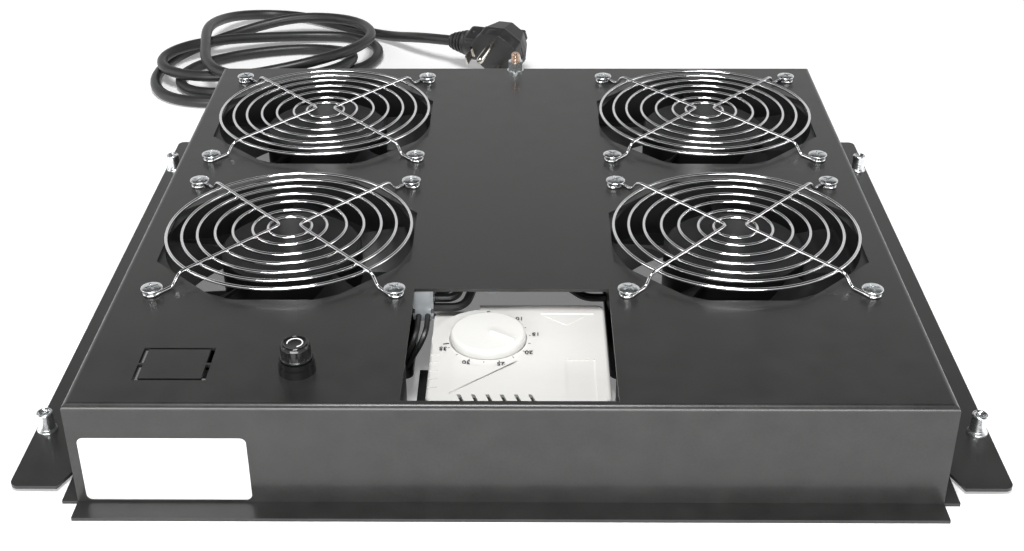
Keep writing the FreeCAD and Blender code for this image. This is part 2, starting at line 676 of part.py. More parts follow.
def rivet_nuts():
    """Four M5 rivet nuts, blind side up, each set in a wing."""
    nuts = []
    for sx, sy in CORNERS:
        x, y = f"{sx} * {RIVET_NUT_X}", f"{sy} * rivet_nut_y"
        tag = f"nut_{len(nuts)}"
        lip = cylinder(tag + "_lip", "rivet_nut_bulge / 2", "rivet_nut_lip", x, y, "sheet - rivet_nut_lip")
        shank = cylinder(tag + "_shank", "rivet_nut_body / 2", "rivet_nut_height + sheet", x, y, "sheet")
        bulge = cylinder(tag + "_bulge", "rivet_nut_bulge / 2", "rivet_nut_bulge_height", x, y, "2 * sheet")
        bore = cylinder(tag + "_bore", "rivet_nut_bore / 2",
                        "rivet_nut_height + sheet + rivet_nut_lip", x, y, "sheet - rivet_nut_lip")
        nuts.append(cut(tag, fuse(tag + "_solid", lip, shank, bulge), bore))
    return node("rivet_nuts", group("nut_set", *nuts))


# ---------------------------------------------------------------- fans

def fan_frame(name, x, y):
    """Die-cast frame: two square flanges on a round duct, with struts, motor plate and bearing tube."""
    frame = body("frame_" + name)
    plan = sketch(frame, "plan")
    middle_square(plan, "fan_size / 2")
    block = pad(frame, plan, "fan_depth")
    fillet(frame, block, "fan_corner", upright)
    waist = sketch(frame, "waist", "fan_depth - fan_flange")
    middle_square(waist, "fan_size / 2 + fan_wall")
    circle(waist, "fan_bore / 2 + fan_wall")
    pocket(frame, waist, "fan_depth - 2 * fan_flange")
    duct = sketch(frame, "duct", "fan_depth")
    circle(duct, "fan_bore / 2")
    for cx, cy in CORNERS:
        circle(duct, "screw_hole", f"{cx} * fan_hole_pitch / 2", f"{cy} * fan_hole_pitch / 2")
    pocket(frame, duct, "fan_depth")
    reach = "(fan_bore / 2 + fan_wall / 2)"
    for direction in ("x", "y"):
        bar = sketch(frame, "strut_" + direction)
        along, across = (f"-{reach}", reach), ("-strut_width / 2", "strut_width / 2")
        rectangle(bar, *(along + across if direction == "x" else across + along))
        pad(frame, bar, "strut_height")
    plate = sketch(frame, "motor_plate")
    circle(plate, "motor_base")
    pad(frame, plate, "motor_base_thickness")
    barrel = sketch(frame, "bearing_tube")
    circle(barrel, "bearing_tube")
    pad(frame, barrel, "bearing_tube_top")
    bore = sketch(frame, "bearing_bore", "bearing_tube_top")
    circle(bore, "bearing_radius + seat_fit")
    pocket(frame, bore, "bearing_tube_top - bearing_seat")
    return node("fan_frame_" + name, place(frame, x, y, FAN_BACK))


def blade_section(owner, name, station, chord, rise):
    """A cambered blade section, seen from the tip, at a distance from the fan's axis."""
    profile = sketch(owner, name, station, "YZ_Plane")
    middle = "(hub_bottom + hub_top) / 2"
    low = f"{middle} - ({rise}) - blade_thickness / 2"
    waist = f"{middle} - blade_camber - blade_thickness / 2"
    high = f"{middle} + ({rise}) - blade_thickness / 2"
    corners = ((f"-({chord})", low), ("0", waist), (chord, high), (chord, f"{high} + blade_thickness"),
               ("0", f"{waist} + blade_thickness"), (f"-({chord})", f"{low} + blade_thickness"))
    return outline(profile, corners)


def fan_impeller(name, x, y):
    """Moulded cup with swept, cambered blades lofted from root to tip."""
    wheel = body("impeller_" + name)
    hub = sketch(wheel, "hub", "hub_bottom")
    circle(hub, "hub_radius")
    cup = pad(wheel, hub, "hub_top - hub_bottom")
    chamfer(wheel, cup, "hub_edge", level_at("hub_top"))
    root = blade_section(wheel, "root", "hub_radius - 2 * hub_wall - root_chord / 8", "root_chord", "root_rise")
    tip = blade_section(wheel, "tip", "blade_tip + 2", "tip_chord", "tip_rise")
    blade = wheel.newObject("PartDesign::AdditiveLoft", wheel.Name + "_blade")
    blade.Profile = root
    blade.Sections = [tip]
    blade.Ruled = True
    ring_of(wheel, blade, "blade_count")
    doc.recompute()
    trim = sketch(wheel, "trim", "hub_top + hub_edge")
    circle(trim, "blade_tip")
    circle(trim, "blade_tip + tip_chord")
    pocket(wheel, trim, "hub_top")
    cavity = sketch(wheel, "cavity", "hub_bottom - hub_edge")
    circle(cavity, "hub_radius - hub_wall")
    pocket(wheel, cavity, "hub_top - hub_bottom + hub_edge - hub_wall", backwards=True)
    boss = sketch(wheel, "boss", "hub_top - hub_wall")
    circle(boss, "hub_boss")
    circle(boss, "shaft_radius + seat_fit / 2")
    pad(wheel, boss, "hub_boss_height", backwards=True)
    return node("fan_impeller_" + name, place(wheel, x, y, FAN_BACK))


def fan_stator(name, x, y):
    """Laminations and windings of the shaded-pole motor, round the bearing tube."""
    foot = "strut_height + stator_gap"
    windings = prism(f"winding_{name}", "stator_poles", "stator_winding", "stator_winding_height", z=foot)
    core = prism(f"core_{name}", "stator_poles", "stator_core", "stator_core_height",
                 z=f"{foot} + (stator_winding_height - stator_core_height) / 2")
    bore = cylinder(f"stator_bore_{name}", "bearing_tube + seat_fit", "stator_winding_height", z=foot)
    stator = cut(f"stator_{name}", fuse(f"stator_solid_{name}", windings, core), bore)
    return node("fan_stator_" + name, place(stator, x, y, FAN_BACK))


def fan_shaft(name, x, y):
    height = "hub_top - hub_wall - bearing_seat - seat_fit"
    shaft = cylinder(f"shaft_{name}", "shaft_radius", height, x, y, f"{FAN_BACK} + bearing_seat + seat_fit")
    return node("fan_shaft_" + name, shaft)


def fan_bearings():
    """Two sleeve bearings in each fan's bearing tube."""
    sleeves = []
    for name, sx, sy in FANS:
        for level in ("bearing_seat", "bearing_tube_top - bearing_height"):
            tag = f"bearing_{len(sleeves)}"
            spot = (fan_x(sx), fan_y(sy), f"{FAN_BACK} + {level}")
            ring = cylinder(tag + "_ring", "bearing_radius", "bearing_height", *spot)
            hole = cylinder(tag + "_hole", "shaft_radius + running_fit", "bearing_height", *spot)
            sleeves.append(cut(tag, ring, hole))
    return node("fan_bearings", group("bearing_set", *sleeves))


def polygon(radius, sides, level):
    """A many-sided face whose sides touch a circle."""
    corner = radius / math.cos(math.pi / sides)
    turns = [2 * math.pi * (i + 0.5) / sides for i in range(sides + 1)]
    return Part.Face(Part.makePolygon([V(corner * math.cos(a), corner * math.sin(a), level) for a in turns]))


def wire_ring(radius, sides, middle, wire):
    """One welded ring of the guard, of square section."""
    outer = polygon(radius + wire / 2, sides, middle - wire / 2)
    inner = polygon(radius - wire / 2, sides, middle - wire / 2)
    return outer.cut(inner).extrude(V(0, 0, wire))


def guard_arm(sign):
    """A bent wire that lies across the rings and ends at two screw loops."""
    wire = number("guard_wire")
    lie = number("guard_height + guard_wire - guard_weld")
    corner = number("fan_hole_pitch / 2")
    apex = V(sign * number("guard_apex"), 0, lie)
    loop = V(sign * (corner - number("guard_loop")), corner, wire / 2)
    heading = V(loop.x - apex.x, loop.y, 0).normalize()
    half = [
        apex + V(sign * number("guard_nose"), 0, 0),
        apex + heading * number("guard_bend"),
        apex + heading * number("ring_1 + 2 * guard_wire"),
        loop - heading * number("guard_foot"),
        loop,
    ]
    spine = [V(p.x, -p.y, p.z) for p in reversed(half[1:])] + half
    drop = (spine[1] - spine[0]).normalize()
    side = drop.cross(UP).normalize()
    rise = side.cross(drop)
    rim = [spine[0] + (side * math.cos(a) + rise * math.sin(a)) * wire / 2
           for a in (math.pi / 3 * i for i in range(7))]
    return Part.makePolygon(spine).makePipeShell([Part.makePolygon(rim)], True, False, 1)


def guard_shape():
    """Seven rings, two bent arms and four screw loops, welded into one."""
    wire = number("guard_wire")
    pieces = []
    for i in range(1, 8):
        radius = number(f"ring_{i}")
        sides = max(int(number("ring_least")), 4 * round(math.pi * radius / number("2 * ring_side")))
        pieces.append(wire_ring(radius, sides, number("guard_height"), wire))
    pieces += [guard_arm(sign) for sign in (-1, 1)]
    corner = number("fan_hole_pitch / 2")
    for cx, cy in CORNERS:
        loop = wire_ring(number("guard_loop"), int(number("ring_least")), wire / 2, wire)
        loop.translate(V(cx * corner, cy * corner, 0))
        pieces.append(loop)
    return pieces[0].multiFuse(pieces[1:])


def finger_guard(name, x, y, shape):
    return node("finger_guard_" + name, place(made("guard_" + name, shape), x, y, "tray_height"))


def guard_screws():
    """Sixteen fan screws, each through a guard loop, the tray and a fan flange."""
    seat = "tray_height + guard_wire + seat_fit"
    neck = prism("screw_neck_disc", "screw_sides", "screw_neck", "screw_step", z=seat)
    rim = prism("screw_rim_disc", "screw_sides", "screw_head", "screw_rim", z=f"{seat} + screw_step")
    shank = prism("screw_shank_pin", "screw_sides", "screw_shank", "screw_length", z=f"{seat} - screw_length")
    screw = fuse("screw_master", shank, neck, rim)
    copies = []
    for _, sx, sy in FANS:
        for cx, cy in CORNERS:
            copy = doc.addObject("App::Link", f"screw_{len(copies)}")
            copy.LinkedObject = screw
            place(copy, f"{fan_x(sx)} + {cx} * fan_hole_pitch / 2", f"{fan_y(sy)} + {cy} * fan_hole_pitch / 2")
            copies.append(copy)
    return node("guard_screws", group("screw_set", *copies))


# ---------------------------------------------------------------- thermostat

THERMOSTAT = ("thermostat_x", "thermostat_y", "tray_height - thermostat_drop - thermostat_height")
SHELF = "(tray_height - thermostat_drop - thermostat_height)"
BASE_TOP = f"({SHELF} + thermostat_base)"
COVER_TOP = "(thermostat_height)"
HALF = "thermostat_size / 2"


def thermostat_bracket():
    """Shelf under the thermostat, hung from the tray on two legs."""
    shelf = body("bracket")
    low = f"{SHELF} - sheet"
    plan = sketch(shelf, "plan", low)
    half, tongue = "bracket_half", "bracket_tongue"
    outline(plan, ((f"-{half}", "bracket_front"), (half, "bracket_front"), (half, "bracket_leg_rear"),
                   (tongue, "bracket_leg_rear"), (tongue, "bracket_rear"), (f"-{tongue}", "bracket_rear"),
                   (f"-{tongue}", "bracket_leg_rear"), (f"-{half}", "bracket_leg_rear")))
    pad(shelf, plan, "sheet")
    for name, sign in SIDES:
        leg = sketch(shelf, name + "_leg", low)
        rectangle(leg, f"{sign} * (bracket_half - sheet)", f"{sign} * bracket_half",
                  "bracket_front", "bracket_leg_rear")
        pad(shelf, leg, f"{UNDERSIDE} - ({low})")
        foot = sketch(shelf, name + "_foot", f"{UNDERSIDE} - sheet")
        rectangle(foot, f"{sign} * (bracket_half - sheet)", f"{sign} * (bracket_half + bracket_foot)",
                  "bracket_front", "bracket_leg_rear")
        pad(shelf, foot, "sheet")
    holes = sketch(shelf, "holes", SHELF)
    for sign in (-1, 1):
        circle(holes, "base_screw_radius + seat_fit", f"thermostat_x + {sign} * base_screw_x",
               "thermostat_y + base_screw_y")
    pocket(shelf, holes, "sheet")
    return node("thermostat_bracket", shelf)


def thermostat_base():
    """Base plate with a rim that locates the cover."""
    plate = body("base")
    plan = sketch(plate, "plan")
    middle_square(plan, HALF)
    flat = pad(plate, plan, "thermostat_base")
    fillet(plate, flat, "thermostat_corner", upright)
    rim = sketch(plate, "rim", "thermostat_base")
    middle_square(rim, f"{HALF} - thermostat_wall - dial_gap")
    middle_square(rim, f"{HALF} - 2 * thermostat_wall - dial_gap")
    pad(plate, rim, "thermostat_base")
    holes = sketch(plate, "holes", "thermostat_base")
    for sign in (-1, 1):
        circle(holes, "base_screw_radius + seat_fit", f"{sign} * base_screw_x", "base_screw_y")
    pocket(plate, holes, "thermostat_base")
    return node("thermostat_base", place(plate, *THERMOSTAT))


def thermostat_cover():
    """Moulded cover: a turret round the dial, a stepped corner, vents, notches and a sunk panel."""
    cover = body("cover")
    plan = sketch(cover, "plan", "thermostat_base")
    middle_square(plan, HALF)
    block = pad(cover, plan, f"{COVER_TOP} - thermostat_base")
    corners = fillet(cover, block, "thermostat_corner", upright)
    fillet(cover, corners, "cover_edge", level_at(COVER_TOP))
    step = sketch(cover, "step", COVER_TOP)
    rectangle(step, f"-{HALF} - sheet", f"-{HALF} + corner_step_x", "dial_y", f"{HALF} + sheet")
    pocket(cover, step, "corner_step")
    turret = sketch(cover, "turret", f"{COVER_TOP} - corner_step")
    circle(turret, "dial_turret", "dial_x", "dial_y")
    pad(cover, turret, "corner_step")
    hollow = sketch(cover, "hollow", "thermostat_base")
    middle_square(hollow, f"{HALF} - thermostat_wall")
    pocket(cover, hollow, f"{COVER_TOP} - thermostat_base - corner_step - thermostat_wall", backwards=True)
    recess = sketch(cover, "recess", COVER_TOP)
    circle(recess, "dial_radius + dial_gap", "dial_x", "dial_y")
    pocket(cover, recess, "dial_recess")
    stem = sketch(cover, "stem", COVER_TOP)
    circle(stem, "dial_stem + dial_gap", "dial_x", "dial_y")
    pocket(cover, stem, "thermostat_height / 2")
    panel = sketch(cover, "panel", COVER_TOP)
    rectangle(panel, "panel_x - panel_width / 2", "panel_x + panel_width / 2",
              "panel_y - panel_length / 2", f"panel_y + panel_length / 2")
    pocket(cover, panel, "panel_depth")
    vent = sketch(cover, "vent", COVER_TOP)
    front, rear = f"-{HALF} - sheet", f"-{HALF} + vent_length"
    outline(vent, (("vent_start + vent_lean", front), ("vent_start + vent_lean + vent_width", front),
                   ("vent_start + vent_width", rear), ("vent_start", rear)))
    slot = pocket(cover, vent, "corner_step + thermostat_wall + sheet")
    row_of(cover, slot, "X_Axis", "vent_pitch * (vent_count - 1)", "vent_count")
    notch = sketch(cover, "notch", COVER_TOP)
    outline(notch, (("notch_start", f"{HALF} - notch_depth"), ("notch_start + notch_width / 2", f"{HALF} + sheet"),
                    ("notch_start - notch_width / 2", f"{HALF} + sheet")))
    nick = pocket(cover, notch, "corner_step")
    row_of(cover, nick, "X_Axis", "notch_pitch * (vent_count - 1)", "vent_count")
    return node("thermostat_cover", place(cover, *THERMOSTAT))


def thermostat_dial():
    """Round dial with a tapered cap, a raised pointer and its stem."""
    foot = f"{COVER_TOP} - dial_recess + dial_gap"
    face = f"{foot} + dial_skirt + dial_cap"
    skirt = cylinder("dial_skirt_disc", "dial_radius", "dial_skirt", z=foot)
    cap = cone("dial_cap_disc", "dial_radius", "dial_cap_radius", "dial_cap", z=f"{foot} + dial_skirt")
    pointer = doc.addObject("Part::Box", "dial_pointer")
    bind(pointer, Length="dial_cap_radius - pointer_width / 2", Width="pointer_width", Height="pointer_height")
    place(pointer, y="-pointer_width / 2", z=face)
    stem = cylinder("dial_stem_pin", "dial_stem", f"{foot} - dial_stem_foot", z="dial_stem_foot")
    dial = fuse("dial", skirt, cap, pointer, stem)
    place(dial, "thermostat_x + dial_x", "thermostat_y + dial_y", SHELF)
    dial.setExpression("Placement.Rotation.Angle", formula("pointer_angle"))
    return node("thermostat_dial", dial)


def thermostat_inside():
    """Switch block with the stem's bearing, and the coiled bimetal."""
    x, y = "thermostat_x + dial_x", "thermostat_y + dial_y"
    block = box("switch_block", "switch_width", "switch_depth", "switch_height", x, y, BASE_TOP)
    bore_floor = f"{SHELF} + dial_stem_foot - dial_gap"
    bore = cylinder("switch_bore", "dial_stem + running_fit", "thermostat_height", x, y, bore_floor)
    node("thermostat_switch", cut("switch", block, bore))
    spot = ("thermostat_x + bimetal_x", "thermostat_y + bimetal_y", BASE_TOP)
    outer = bind(cylinder("bimetal_outer", "bimetal_radius", "bimetal_height", *spot), Angle="bimetal_sweep")
    inner = cylinder("bimetal_inner", "bimetal_radius - bimetal_strip", "bimetal_height", *spot)
    node("thermostat_bimetal", cut("bimetal", outer, inner))


def panel_screws():
    """Two screws that hold the thermostat's base on its shelf."""
    screws = []
    for sign in (-1, 1):
        spot = (f"thermostat_x + {sign} * base_screw_x", "thermostat_y + base_screw_y")
        tag = f"base_screw_{len(screws)}"
        head = cylinder(tag + "_head", "base_screw_head", "base_screw_rise", *spot, BASE_TOP)
        shank = cylinder(tag + "_shank", "base_screw_radius", "thermostat_base + 2 * sheet",
                         *spot, f"{BASE_TOP} - thermostat_base - 2 * sheet")
        screws.append(fuse(tag, head, shank))
    return node("thermostat_screws", group("base_screw_set", *screws))


# ---------------------------------------------------------------- fuse holder

def fuse_holder():
    """Panel fuse holder: flanged body, nut, solder tags, turning cap and the fuse link in it."""
    spot = ("fuse_x", "fuse_y")
    rim = "tray_height + fuse_flange_height + fuse_collar_height"
    barrel = cylinder("fuse_barrel_pin", "fuse_barrel", "fuse_barrel_depth", *spot,
                      "tray_height - fuse_barrel_depth")
    flange = cylinder("fuse_flange_disc", "fuse_flange", "fuse_flange_height", *spot, "tray_height")
    collar = cylinder("fuse_collar_disc", "fuse_collar", "fuse_collar_height", *spot,
                      "tray_height + fuse_flange_height")
    floor = "tray_height - fuse_barrel_depth + fuse_bore_floor"
    bore = cylinder("fuse_bore_pin", "fuse_bore", f"{rim} - ({floor})", *spot, floor)
    node("fuse_holder_body", cut("fuse_body", fuse("fuse_body_solid", barrel, flange, collar), bore))
    ring = hexagon("fuse_nut_hex", "fuse_nut_flats", "fuse_nut_height", *spot, f"{UNDERSIDE} - fuse_nut_height")
    hole = cylinder("fuse_nut_hole", "fuse_barrel + seat_fit", "fuse_nut_height", *spot,
                    f"{UNDERSIDE} - fuse_nut_height")
    node("fuse_holder_nut", cut("fuse_nut", ring, hole))
    tags = [box(f"fuse_tag_{i}", "fuse_tag_sheet", "fuse_tag_width", "fuse_tag_height",
                f"fuse_x + {sign} * fuse_tag_place", "fuse_y",
                "tray_height - fuse_barrel_depth - fuse_tag_height") for i, sign in enumerate((-1, 1))]
    node("fuse_solder_tags", group("fuse_tags", *tags))
    node("fuse_cap", place(fuse_cap(), *spot, f"{rim} + cap_gap"))
    foot = f"({floor} + cap_gap)"
    glass = cylinder("fuse_glass_rod", "fuse_glass", "fuse_length - 2 * fuse_end_length", *spot,
                     f"{foot} + fuse_end_length")
    node("fuse_link_glass", glass)
    ends = [cylinder(f"fuse_end_{i}", "fuse_end", "fuse_end_length", *spot, level)
            for i, level in enumerate((foot, f"{foot} + fuse_length - fuse_end_length"))]
    node("fuse_link_ends", group("fuse_ends", *ends))


def fuse_cap():
    """Cap with a coin slot and a hollow stem that grips the fuse."""
    cap = body("cap")
    plan = sketch(cap, "plan")
    circle(plan, "cap_radius")
    knob = pad(cap, plan, "cap_height")
    chamfer(cap, knob, "cap_edge", level_at("cap_height"))
    stem = sketch(cap, "stem")
    circle(stem, "cap_stem")
    pad(cap, stem, "cap_stem_length", backwards=True)
    grip = sketch(cap, "grip", "-cap_stem_length")
    circle(grip, "cap_grip")
    pocket(cap, grip, "cap_grip_depth", backwards=True)
    return cap


# ---------------------------------------------------------------- earth stud

def earth_stud():
    spot = ("0", "stud_y")
    shank_top = "tray_height + washer_height + nut_height"
    shank = cylinder("stud_shank_pin", "stud_shank", f"{shank_top} - tray_height + stud_under",
                     *spot, "tray_height - stud_under")
    free = cylinder("stud_free_pin", "stud_radius", f"tray_height + stud_over - ({shank_top})", *spot, shank_top)
    node("earth_stud", fuse("stud", shank, free))
    levels = (("washer_radius", "tray_height"), ("inner_washer", f"{UNDERSIDE} - washer_height"))
    washers = []
    nuts = []
    for i, (radius, level) in enumerate(levels):
        disc = cylinder(f"washer_disc_{i}", radius, "washer_height", *spot, level)
        hole = cylinder(f"washer_hole_{i}", "stud_shank + seat_fit", "washer_height", *spot, level)
        washers.append(cut(f"washer_{i}", disc, hole))
    for i, level in enumerate(("tray_height + washer_height", f"{UNDERSIDE} - washer_height - nut_height")):
        block = hexagon(f"nut_hex_{i}", "nut_flats", "nut_height", *spot, level)
        hole = cylinder(f"nut_hole_{i}", "stud_shank + seat_fit", "nut_height", *spot, level)
        nuts.append(cut(f"stud_nut_{i}", block, hole))
    node("earth_washers", group("washer_set", *washers))
    node("earth_nuts", group("stud_nut_set", *nuts))


# ---------------------------------------------------------------- wiring inside the tray

def terminal_strip():
    """Clear terminal strip under the tray, its clamps, and the splice cap beside it."""
    level = f"{UNDERSIDE} - strip_height"
    length = "strip_pole * strip_poles"
    middle = f"(strip_front + {length} / 2)"
    spine = box("strip_spine", "strip_width - 2 * strip_waist", length, "strip_height", "strip_x", middle, level)
    poles = []
    bores = []
    clamps = []
    for i in range(int(number("strip_poles"))):
        y = f"(strip_front + strip_pole * {i + 0.5})"
        poles.append(box(f"strip_pole_{i}", "strip_width", "strip_pole - 2 * strip_waist", "strip_height",
                         "strip_x", y, level))
        bores.append(cross_pin(f"strip_bore_{i}", "strip_bore", "strip_width", y))
        clamps.append(cross_pin(f"clamp_{i}", "clamp_radius", "clamp_length", y))
    node("terminal_strip", cut("strip", fuse("strip_solid", spine, *poles), *bores))
    node("terminal_clamps", group("clamp_set", *clamps))
    cap = turn(cylinder("splice", "splice_radius", "splice_length"), V(1, 0, 0), -90)
    node("splice_cap", place(cap, "splice_x", "splice_y", f"{UNDERSIDE} - splice_radius - tie_pad_height"))


def cross_pin(name, radius, length, y):
    """A cylinder along X through the terminal strip."""
    pin = turn(cylinder(name, radius, length), V(0, 1, 0), 90)
    return place(pin, f"strip_x - ({length}) / 2", y, CLAMP_LEVEL)


def lead_points(*rows):
    return [V(*(number(text) for text in row)) for row in rows]


def internal_leads():
    """Leads that lie in the loom under the tray, each a round tube along its route."""
    top, low, clamp = "tray_height - loom_top_drop", "tray_height - loom_low_drop", CLAMP_LEVEL
    entry = "strip_x + strip_width / 2"
    inner = "fan_pitch_x / 2 - fan_bore / 2 - fan_wall"
    first, second, third = (f"strip_front + strip_pole * {i + 0.5}" for i in range(3))
    front_row, rear_row = fan_y(-1), fan_y(1)
    leads = {
        "fan_leads": ("lead_radius", (
            ((f"-({inner})", front_row, "15"), ("-36", front_row, "15"), ("-25", "-39", "26"),
             ("-21", "-47", top), ("-21", "-58", top), ("-25", second, clamp), (entry, second, clamp)),
            ((inner, front_row, "15"), ("34", front_row, "15"), ("18", "-38", "28"),
             ("-2", "-42", "38.9"), ("splice_x", "-45", "38.9"), ("splice_x", "splice_y + splice_length", "38.9")),
            ((f"-({inner})", rear_row, "15"), ("-37", rear_row, "15"), ("-28", "94", "28"),
             ("-23", "82", top), ("-22.6", "0", top), ("-25.4", "-46", top),
             ("-27", third, clamp), (entry, third, clamp)),
            ((inner, rear_row, "15"), ("35", rear_row, "15"), ("18", "94", "28"),
             ("-8", "86", top), ("-18", "64", top), ("-17.4", "10", top), ("-16.8", "-50", top),
             ("-17.4", "-69", "39"), ("-21", first, clamp), (entry, first, clamp)),
        )),
        "mains_tail": ("cord_radius", (
            (("relief_x", "tray_depth / 2 - sheet - relief_lock_length", "relief_z"),
             ("relief_x", "140", "relief_z"), ("-21", "108", "30"), ("-17", "78", low), ("-17", "30", low),
             ("-18", "-18", low), ("-30", "-32", low), ("strip_x + 1", "-45", "36.5"),
             ("strip_x + 1", "strip_front + strip_pole * strip_poles", "36.5")),
        )),
        "fuse_leads": ("core_radius", tuple(
            ((f"fuse_x + {sign} * fuse_tag_place", "fuse_y", "tray_height - fuse_barrel_depth - fuse_tag_height"),
             (f"fuse_x + {sign} * fuse_tag_place", "fuse_y", "9.5"),
             (f"fuse_x + 10 + {sign} * 2", "fuse_y + 24", "9"), (f"-62 + {sign} * 2", f"-106 + {sign} * 1.6", "12"),
             (f"-48 + {sign} * 1.5", f"-103.5 + {sign} * 1.8", "17"), (f"strip_x + {sign} * 2", "-100", "34"),
             (f"strip_x + {sign} * 2", "strip_front", "34")) for sign in (-1, 1)
        )),
        "thermostat_lead": ("core_radius", (
            (("thermostat_x - thermostat_size / 2 + 6", "thermostat_y + thermostat_size / 2", "22"),
             ("thermostat_x - thermostat_size / 2 + 6", "-68", "22"), ("strip_x + 2", "-66", "22"),
             ("strip_x + 2", "-66", f"{UNDERSIDE} - strip_height")),
        )),
        "earth_lead": ("core_radius", (
            (("splice_x", "splice_y + splice_length", "35.4"), ("splice_x", "-38", "35.4"),
             ("-9.6", "0", EARTH_LEVEL), ("-10", "60", EARTH_LEVEL), ("-9", "110", EARTH_LEVEL),
             ("-4", "145", "36"), ("-0.6", "156", "38"), ("-0.6", "stud_y - 4", "39.6")),
        )),
    }
    for name, (radius, routes) in leads.items():
        tubes = [tube(lead_points(*route), number(radius), int(number("lead_sides")))[0] for route in routes]
        node(name, made(name + "_tubes", Part.makeCompound(tubes)))


def cable_ties():
    """Tie mounts under the tray and the ties that hang the loom from them."""
    mounts = []
    ties = []
    top = f"{UNDERSIDE} - tie_pad_height"
    for y in ("64", "26", "-10"):
        tag = len(mounts)
        mounts.append(box(f"tie_mount_{tag}", "tie_pad", "tie_pad", "tie_pad_height", "tie_x", y, top))
        outer = box(f"tie_outer_{tag}", "2 * (tie_half + tie_band)", "tie_width",
                    f"{top} - {TIE_LOW} + tie_band", "tie_x", y, f"{TIE_LOW} - tie_band")
        inner = box(f"tie_inner_{tag}", "2 * tie_half", "tie_width",
                    f"{top} - {TIE_LOW} - tie_band", "tie_x", y, TIE_LOW)
        ties.append(cut(f"tie_{tag}", outer, inner))
    node("tie_mounts", group("mount_set", *mounts))
    node("cable_ties", group("tie_set", *ties))


# ---------------------------------------------------------------- mains lead and plug

def strain_relief():
    """Snap-in relief: inner lock, neck in the wall, flange and tapered tail, turned about Y."""
    wall = "tray_depth / 2"
    runs = (
        ("lock", "relief_lock", "relief_lock", "relief_lock_length", f"{wall} - sheet - relief_lock_length"),
        ("neck", "relief_neck", "relief_neck", "sheet", f"{wall} - sheet"),
        ("flange", "relief_flange", "relief_flange", "relief_flange_length", wall),
        ("tail", "relief_root", "relief_tip", "relief_tail", f"{wall} + relief_flange_length"),
    )
    parts = []
    for name, near, far, length, y in runs:
        if near == far:
            part = cylinder("relief_" + name + "_run", near, length)
        else:
            part = cone("relief_" + name + "_run", near, far, length)
        parts.append(place(turn(part, V(1, 0, 0), -90), "relief_x", y, "relief_z"))
    return node("strain_relief", fuse("relief", *parts))


def plug_point(x, y, z):
    """A place on the plug, whose pins face -Y and whose lead leaves towards -X."""
    return plug_placement().multVec(V(x, y, z))


def plug_placement():
    """The plug lies on the rim of its face and the tip of its lower pin."""
    rim, reach = number("plug_radius"), number("pin_length")
    low_pin = number("pin_pitch / 2 + pin_radius")
    tilt = math.atan2(rim - low_pin, reach)
    height = rim * math.cos(tilt)
    roll = FreeCAD.Rotation(V(0, 1, 0), number("plug_roll"))
    spin = FreeCAD.Rotation(UP, number("plug_yaw")) * FreeCAD.Rotation(V(1, 0, 0), math.degrees(tilt)) * roll
    return FreeCAD.Placement(V(number("plug_x"), number("plug_y"), height), spin)


def plug():
    """Angled earthed plug: round face, tapered back with a grip bar, neck, pins and earth clips."""
    size = {name: number(name) for name in NAMES if name.startswith(("plug_", "pin_", "clip_"))}
    back, side = V(0, 1, 0), V(-1, 0, 0)
    face = Part.makeCylinder(size["plug_radius"], size["plug_face_depth"], V(0, 0, 0), back)
    shoulder = Part.makeCone(size["plug_radius"], size["plug_back_radius"], size["plug_back_depth"],
                             V(0, size["plug_face_depth"], 0), back)
    neck = Part.makeCylinder(size["plug_neck_radius"], size["plug_neck_end"],
                             V(0, size["plug_neck_back"], 0), side)
    relief = Part.makeCone(size["plug_neck_radius"] - 1, size["plug_relief_tip"], size["plug_relief_length"],
                           V(-size["plug_neck_end"], size["plug_neck_back"], 0), side)
    depth = size["plug_face_depth"] + size["plug_back_depth"]
    grip = Part.makeBox(size["plug_grip_width"], size["plug_grip_depth"] + 1, size["plug_grip_height"],
                        V(-size["plug_grip_width"] / 2, depth - 1, -size["plug_grip_height"] / 2))
    shell = face.multiFuse([shoulder, neck, relief, grip]).removeSplitter()
    pins = [Part.makeCylinder(size["pin_radius"], size["pin_length"],
                              V(0, 0, sign * size["pin_pitch"] / 2), V(0, -1, 0)) for sign in (-1, 1)]
    clips = [Part.makeBox(size["clip_height"], size["clip_length"], size["clip_width"],
                          V(sign * size["plug_radius"] - (0 if sign < 0 else size["clip_height"]),
                            -size["clip_length"], -size["clip_width"] / 2)) for sign in (-1, 1)]
    for name, shape in (("plug_body", shell), ("plug_pins", Part.makeCompound(pins)),
                        ("plug_earth_clips", Part.makeCompound(clips))):
        piece = made(name + "_solid", shape)
        piece.Placement = plug_placement()
        node(name, piece)


